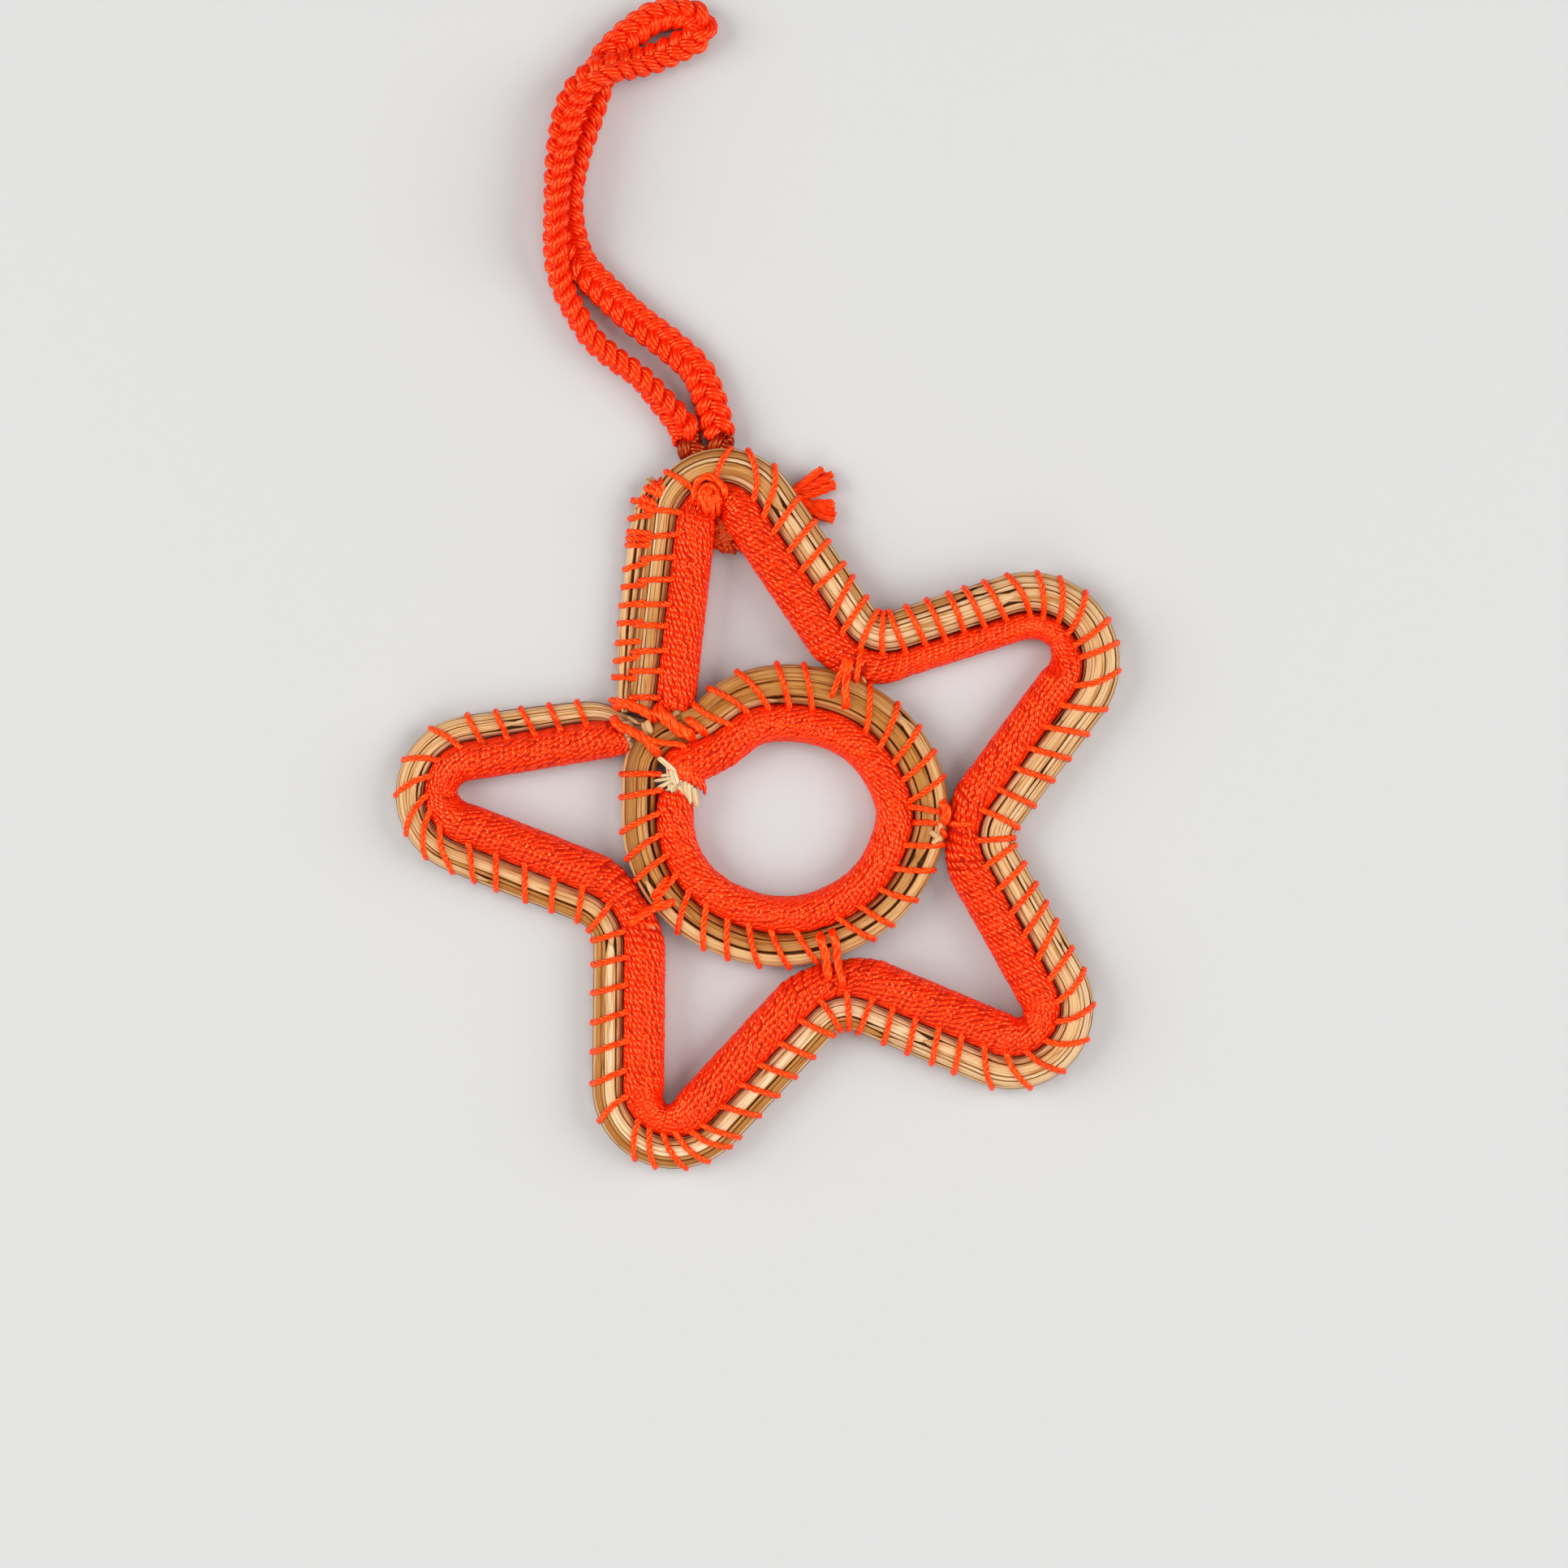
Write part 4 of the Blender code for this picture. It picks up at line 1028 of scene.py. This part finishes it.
def needle_material(name, tones, roughness):
    """Dry needles: cream to golden, streaked along their length, with painted shade on their edges
    for the gaps between them.
    """
    look = Look(name)
    vector, across, tone = look.strand()
    patch = look.noise(vector, detail=2.0, stretch=(0.06, 0.5, 9.0))
    mixed = look.arithmetic("MULTIPLY_ADD", patch, 0.5, tone)
    mixed = look.arithmetic("MULTIPLY", mixed, 0.6)
    tint = look.ramp(mixed, *zip((0.10, 0.42, 0.62, 0.9), tones))
    streak = look.noise(vector, stretch=(0.05, 1.9, 23.0))
    line = look.ramp(streak, (0.44, WHITE), (0.485, (0.62, 0.40, 0.20)),
                     (0.505, (0.62, 0.40, 0.20)), (0.54, WHITE))
    fine = look.noise(vector, detail=5.0, stretch=(0.10, 6.0, 31.0))
    grain = look.ramp(fine, (0.35, (0.80, 0.72, 0.62)), (0.60, WHITE))
    # painted shade: ochre to near-black towards each needle's edges, standing for the shade in the
    # gaps between needles
    edge_shade = look.ramp(look.arithmetic("ABSOLUTE", across), (0.80, WHITE), (0.93, (0.70, 0.45, 0.22)),
                    (1.0, (0.20, 0.08, 0.02)))
    colour = look.multiply(look.multiply(look.multiply(tint, line), grain), edge_shade)
    look.bump(fine, strength=0.3, depth=0.06 * MM)
    look.feed(look.shader, Base_Color=colour, Roughness=roughness, Specular_IOR_Level=0.22,
              Specular_Tint=(1.0, 0.85, 0.6, 1.0))
    return look.made


def painted_shade_material(name, colour, roughness):
    """Painted shade: the dark inside of a coil, seen only through gaps."""
    look = Look(name)
    dark = tuple(part * 0.7 for part in colour)
    tint = look.ramp(look.object_noise(1500.0), (0.3, dark), (0.7, colour))
    look.feed(look.shader, Base_Color=tint, Roughness=roughness, Specular_IOR_Level=0.1)
    return look.made


# Camera, light and floor

def make_stage():
    camera = bpy.data.cameras.new("camera")
    camera.lens = LENS
    camera.sensor_width = SENSOR
    camera.clip_end = 5.0
    eye = add_object("camera", camera)
    height = VIEW_WIDTH * camera.lens / camera.sensor_width
    eye.location = Vector(((VIEW_MIDDLE[0] + HUB[0]) * MM, (VIEW_MIDDLE[1] + HUB[1]) * MM,
                           (height + VIEW_LEVEL) * MM))
    bpy.context.scene.camera = eye

    floor_mesh = bpy.data.meshes.new("floor")
    low, high = -FLOOR_REACH, FLOOR_REACH
    corners = ((low, low, 0), (high, low, 0), (high, high, 0), (low, high, 0))
    floor_mesh.from_pydata(corners, [], [(0, 1, 2, 3)])
    floor = add_object("floor", floor_mesh)
    paper = Look("floor_paper")
    paper.feed(paper.shader, Base_Color=FLOOR_COLOUR, Roughness=0.8)
    floor_mesh.materials.append(paper.made)

    for name, place, size, power in LIGHTS:
        light = bpy.data.lights.new(name, "AREA")
        light.shape = "DISK"
        light.size = size
        light.energy = power
        lamp = add_object(name, light)
        lamp.location = place
        lamp.rotation_euler = (-Vector(place)).to_track_quat("-Z", "Y").to_euler()
    bpy.context.scene.view_settings.view_transform = "Standard"
    world = bpy.data.worlds.new("world")
    bpy.context.scene.world = world
    world.use_nodes = True
    sky = world.node_tree.nodes["Background"].inputs
    sky["Color"].default_value = (*WHITE, 1.0)
    sky["Strength"].default_value = SKY_LIGHT


# The cord

def cord_line():
    """Middles of the braid and how far it is rolled from lying flat."""
    points = np.array([(x, y, (lift + 0.5) * CORD_THICKNESS) for x, y, lift in CORD_ROUTE])
    points = smooth(points, CORD_STEP)
    return points, np.radians(np.interp(np.linspace(0.0, 1.0, len(points)), *CORD_ROLLS))


def lay_braid(pile, points, roll, width, height):
    """Three bundles of yarn, plaited flat and rolled about their line."""
    _, side, up = frames(points)
    cos, sin = np.cos(roll)[:, None], np.sin(roll)[:, None]
    side, up = side * cos + up * sin, up * cos - side * sin
    reach = np.sqrt((width * np.sin(roll)) ** 2 + (height * np.cos(roll)) ** 2) / 2
    points = points + np.outer(np.maximum(0.0, reach + FLOOR_GAP - points[:, 2]), UP)
    far = lengths(points)
    thick = np.minimum(1.0, height / CORD_HEIGHT)[:, None]
    swing = (width / 2 - BRAID_BUNDLE)[:, None]
    rise = (height / 2 - BRAID_BUNDLE * thick[:, 0])[:, None]
    for k in range(3):
        turn = TURN * (far / BRAID_LAY + k / 3)[:, None]
        middle = points + side * swing * np.sin(turn) + up * rise * np.sin(2 * turn)
        across, lift = cross_frame(middle, up)
        for thread in range(BRAID_THREADS):
            spin = TURN * (far / BRAID_THREAD_LAY + thread / BRAID_THREADS)[:, None]
            spot = (middle + across * BRAID_CORE[0] * np.cos(spin)
                    + lift * BRAID_CORE[1] * thick * np.sin(spin))
            sideways, upwards = cross_frame(spot, up)
            pile.tube(spot, sideways, upwards * thick, circle(BRAID_THREAD_SIDES, BRAID_THREAD))


def make_cord(finishes):
    points, roll = cord_line()
    pile = Pile()
    lay_braid(pile, points, roll, CORD_WIDTH - CORD_PINCH * np.sin(roll) ** 2,
              np.full(len(points), CORD_HEIGHT))
    braid = pile.build("hanging_braid", finishes.cord, "hanging_cord")
    pile = Pile()
    for route in CORD_ROOTS:
        line = smooth(route, CORD_STEP)
        count = len(line)
        lay_braid(pile, line, np.zeros(count), np.full(count, CORD_ROOT_WIDTH),
                  np.linspace(CORD_HEIGHT, CORD_ROOT_HEIGHT, count))
    # the roots get the braid's darker copy, painted shade for the shade between the legs
    pile.build("cord_roots", finishes.shaded_cord)


# Star and ring

def end_fullness(distance, start, end):
    """Share of its full radius that a wrapped coil has, smaller beside its two ends."""
    return np.interp(np.minimum(distance - start, end - distance), *END_FULLNESS)


def make_star(finishes):
    seam, middles = star_seam()
    end = seam.far[-1] - LEG_OVERRUN
    wrap_end = end - WRAP_END
    bounds = [WRAP_START, *middles[1::2], wrap_end]

    def shape(distance):
        slant = WRAP_END_SLANT * np.exp(-((wrap_end - distance) / WRAP_END_SPREAD) ** 2)
        return Form(slant, end_fullness(distance, WRAP_START, wrap_end), 1.0, 0.0)

    for point, first, last in zip(STAR_POINTS, bounds, bounds[1:]):
        pile = Pile()
        wind(pile, seam, first, last, -1, shape)
        pile.build(f"winding_{point.name}", finishes.twine)

    pile = fill_wrapped(seam, WRAP_START + FILL_MARGIN, wrap_end - FILL_MARGIN, shape)
    # the filling is coloured as painted shade, seen in the grooves between the windings
    pile.build("wrapped_filling", finishes.dark_twine, "star_wrapped_coil")

    distance = np.arange(BARE_START, end, BARE_STEP)
    first = bare_line(seam, distance)
    sink = LAST_LEG_BEND * np.exp(-((end - distance) / LAST_LEG_SPREAD) ** 2)
    first.points = first.points - first.side * sink[:, None]
    second = row_line(seam)
    lay_coil(first, "star_needles", finishes, "star_bare_coil", tones=(0.0, 0.85))
    lay_coil(second, "row_needles", finishes, tones=(0.0, 0.5))

    pile = Pile()
    sew(pile, seam, STAR_STITCHES, -1)
    for distance, lean in ROW_STITCHES:
        lay_twine(pile, row_stitch_route(seam, distance, lean))
    pile.build("star_stitches", finishes.thread, "star_stitching")
    return [first, second, wrapped_line(seam, np.arange(WRAP_START, wrap_end, 1.0), shape)]


def make_ring(finishes):
    seam, far_at = ring_seam()
    cut = far_at(360.0 + RING_CUT)
    start = far_at(RING_RESTART)

    def shape(distance):
        near = np.exp(-((cut - distance) / RING_CUT_SPREAD) ** 2)
        return Form(RING_CUT_SLANT * near, end_fullness(distance, start, cut + RING_CUT_BEYOND),
                    1.0 + RING_CUT_FLARE * near, RING_CUT_PUSH * near)

    pile = Pile()
    wind(pile, seam, start, cut, 1, shape)
    pile.build("ring_winding", finishes.twine)
    pile = fill_wrapped(seam, start + FILL_MARGIN, cut - RING_CUT_HOLLOW, shape)
    # the filling is coloured as painted shade, seen in the grooves between the windings
    pile.build("ring_filling", finishes.dark_twine, "ring_wrapped_coil")

    bare_end = far_at(RING_BUTT + 360.0) + RING_BUTT_OVERLAP
    bare = bare_line(seam, np.arange(far_at(RING_BUTT), bare_end, BARE_STEP))
    lay_coil(bare, "ring_needles", finishes, "ring_bare_coil", tones=(0.35, 1.0))

    pile = Pile()
    rows = [(far_at(a), far_at(b), count, low, high) for a, b, count, low, high in RING_STITCHES]
    sew(pile, seam, rows, 1)
    pile.build("ring_stitches", finishes.thread, "ring_stitching")
    distance = np.arange(start + FILL_MARGIN, cut - RING_CUT_HOLLOW, FILL_STEP)
    return [bare, wrapped_line(seam, distance, shape)]


# Ties, knots and ends

def drape(lines, route, drops, lift):
    """A strand over what lies beneath it, pulled tight; its ends may drop down between."""
    flat = smooth(route, DRAPE_STEP)
    tops = np.max([line.top(flat) for line in lines], axis=0) + TWINE * DRAPE_REST + lift
    far = lengths(flat)
    for _ in range(DRAPE_PULLS):
        tops[1:-1] = np.maximum(tops[1:-1], (tops[:-2] + tops[2:]) / 2)
    fall = np.zeros(len(flat))
    for dropped, way in zip(drops, (far, far[-1] - far)):
        if dropped:
            fall += DROP * np.maximum(0.0, 1.0 - way / DROP_REACH) ** 2
    return np.column_stack((flat, np.maximum(TWINE / 2, tops - fall)))


def tie(pile, lines, route, width, drops=(1, 1)):
    """A strand or a band of strands along a flat route."""
    line = drape(lines, route, drops, rng.uniform(0.0, TIE_LIFT))
    if width > TWINE:
        lay_band(pile, line, width)
    else:
        lay_twine(pile, line)


def knot(pile, middle, size, turns, twine):
    """A lump of twine wound over itself."""
    for k in range(turns):
        tilt = rng.uniform(0.0, math.pi)
        axis = unit(np.array((math.cos(tilt), math.sin(tilt), rng.uniform(-KNOT_TILT, KNOT_TILT))))
        first = unit(np.cross(axis, UP))
        second = np.cross(axis, first)
        turn = np.linspace(0.0, TURN * KNOT_SHARE, KNOT_POINTS)[:, None]
        bend = axis * np.sin(turn * 2 + k) * KNOT_BEND
        ball = first * np.cos(turn) + second * np.sin(turn) + bend
        lay_twine(pile, np.array(middle) + ball * (np.array(size) / 2 - twine / 2), twine=twine)


def make_ties(lines, finishes):
    for name, strands in TIES:
        pile = Pile()
        for strand in strands:
            tie(pile, lines, *strand)
        pile.build(name + "_strands", finishes.thread, name)


def lay_tail(pile, root, angle, length, spread):
    """Frayed threads that fan out from a root in a few tufts."""
    way, across = ray(angle), ray(angle + 90.0)
    for share in np.linspace(-1.0, 1.0, TAIL_THREADS):
        tuft = round(share * TAIL_TUFTS) * TAIL_TUFT_GAP
        reach = length * rng.uniform(*TAIL_LENGTHS)
        fan = share * TAIL_FAN
        flat = smooth([root - way * TAIL_ROOT + across * share * spread * TAIL_ROOT_WIDTH,
                       root + across * share * spread,
                       root + way * reach * TAIL_BEND + across * (fan + tuft) * spread,
                       root + way * reach + across * (fan + tuft * 2) * spread], TAIL_STEP)
        rise = np.linspace(TAIL_LEVEL, rng.uniform(*TAIL_ENDS), len(flat))
        lay_twine(pile, np.column_stack((flat, rise)), twine=TAIL_TWINE, lay=TAIL_LAY, sides=4)


def make_knots(lines, finishes):
    pile = Pile()
    knot(pile, *CORD_KNOT)
    # the cord's knot gets the braid's darker copy, painted shade for the shade between the legs
    pile.build("cord_knot_turns", finishes.shaded_cord, "cord_knot")
    pile = Pile()
    knot(pile, *CROWN_KNOT)
    for route, width, lift in CROWN_LOOPS:
        lay_band(pile, drape(lines, route, (1, 1), lift), width)
    pile.build("crown_knot_turns", finishes.thread, "crown_knot")
    pile = Pile()
    turn = np.linspace(END_TURN_START, TURN + END_TURN_START, END_TURN_POINTS)[:, None]
    for first, last in np.array(END_TURNS):
        flat = (first + last) / 2 + (first - last) / 2 * np.cos(turn)
        loop = np.column_stack((flat, END_TURN_LEVEL + END_TURN_RISE * np.sin(turn)))
        lay_twine(pile, loop, first_up=END_TURN_UP, twine=END_TWINE)
    pile.build("end_turns", finishes.thread, "end_binding")
    for name, root, angle, length, spread in TAILS:
        pile = Pile()
        lay_tail(pile, np.array(root), angle, length, spread)
        pile.build(name + "_strands", finishes.cord, name)


def lay_stub(pile, seam, end, way, form, longest, count, splay):
    """Cut needles that stick out of a wrapped coil's end."""
    wrap, _ = seam.radii(end)
    for _ in range(count):
        share = math.sqrt(rng.random()) * (1.0 - STUB_RIM / wrap)
        turn = rng.uniform(0, TURN)
        out = wrap * form.width * (share * math.cos(turn) - 1.0) + form.push
        height = wrap * (1.0 + share * form.fullness * math.sin(turn))
        far = longest * rng.uniform(*STUB_REACHES)
        distance = end - form.slant * share * math.cos(turn)
        distance = distance + way * np.array((STUB_START, 0.0, far))
        outs = (out, out, out + rng.uniform(-splay, splay))
        heights = (height, height, height + rng.uniform(-splay, 0.0) / 2)
        points = seam.space(distance, np.array(outs), np.array(heights))
        lay_splinter(pile, points, rng.uniform(*STUB_WIDTHS), rng.random() * CUT_TONE)


def make_stubs(finishes):
    pile = Pile()
    seam, far_at = ring_seam()
    form = Form(RING_CUT_SLANT, RING_STUB_HEIGHT, 1.0 + RING_CUT_FLARE, RING_CUT_PUSH)
    lay_stub(pile, seam, far_at(RING_CUT + 360.0) - RING_STUB_INSET, 1, form, *RING_STUB)
    for share in np.linspace(0.0, 1.0, CUT_BLOCK_COUNT):
        ends = CUT_BLOCK[0] + (CUT_BLOCK[1] - CUT_BLOCK[0]) * share
        ends = ends + rng.uniform(-CUT_BLOCK_SLIP, CUT_BLOCK_SLIP, ends.shape)
        lay_splinter(pile, ends, rng.uniform(*CUT_BLOCK_WIDTHS), rng.random() * CUT_TONE)
    for first, last, width in CUT_NEEDLES:
        lay_splinter(pile, (first, last), width, rng.random() * CUT_PALE_TONE)
    pile.build("ring_core_needles", finishes.pale, "ring_core_end")
    pile = Pile()
    seam, _ = star_seam()
    form = Form(0.0, 1.0, 1.0, 0.0)
    lay_stub(pile, seam, WRAP_START, -1, form, *STAR_STUB)
    lay_stub(pile, seam, seam.far[-1] - LEG_OVERRUN - WRAP_END, 1, form, *STAR_STUB)
    for first, last, width in SPLINTERS:
        lay_splinter(pile, (first, last), width, rng.uniform(*SPLINTER_TONES))
    pile.build("star_core_needles", finishes.needles)


make_stage()
finishes = SimpleNamespace(
    twine=nylon("orange_nylon", (0.70, 0.007, 0.0003), (0.93, 0.020, 0.0006), 0.17),
    cord=nylon("orange_braid", (0.86, 0.014, 0.0003), (1.0, 0.034, 0.0006), 0.24),
    thread=nylon("orange_stitches", (0.82, 0.022, 0.0005), (1.0, 0.046, 0.001), 0.24),
    # painted shade: a darker copy of the braid for the cord's roots and knot, which lie in shade
    # between the legs
    shaded_cord=nylon("shaded_braid", (0.30, 0.004, 0.0003), (0.50, 0.010, 0.0005), 0.30),
    # painted shade: a darker twine colour for the grooves between the windings
    dark_twine=painted_shade_material("shaded_nylon", (0.55, 0.012, 0.001), 0.7),
    needles=needle_material("dry_needles", ((0.84, 0.64, 0.41), (0.72, 0.44, 0.20),
                                            (0.50, 0.22, 0.05), (0.25, 0.09, 0.015)), 0.45),
    pale=needle_material("cut_needle_ends", ((0.86, 0.72, 0.50), (0.80, 0.62, 0.38),
                                             (0.70, 0.48, 0.26), (0.50, 0.30, 0.14)), 0.7),
    # painted shade: near-black brown for the gaps between the needles
    dark_needles=painted_shade_material("shaded_needles", (0.10, 0.04, 0.015), 0.9),
)
make_cord(finishes)
coils = make_star(finishes) + make_ring(finishes)
make_ties(coils, finishes)
make_knots(coils, finishes)
make_stubs(finishes)
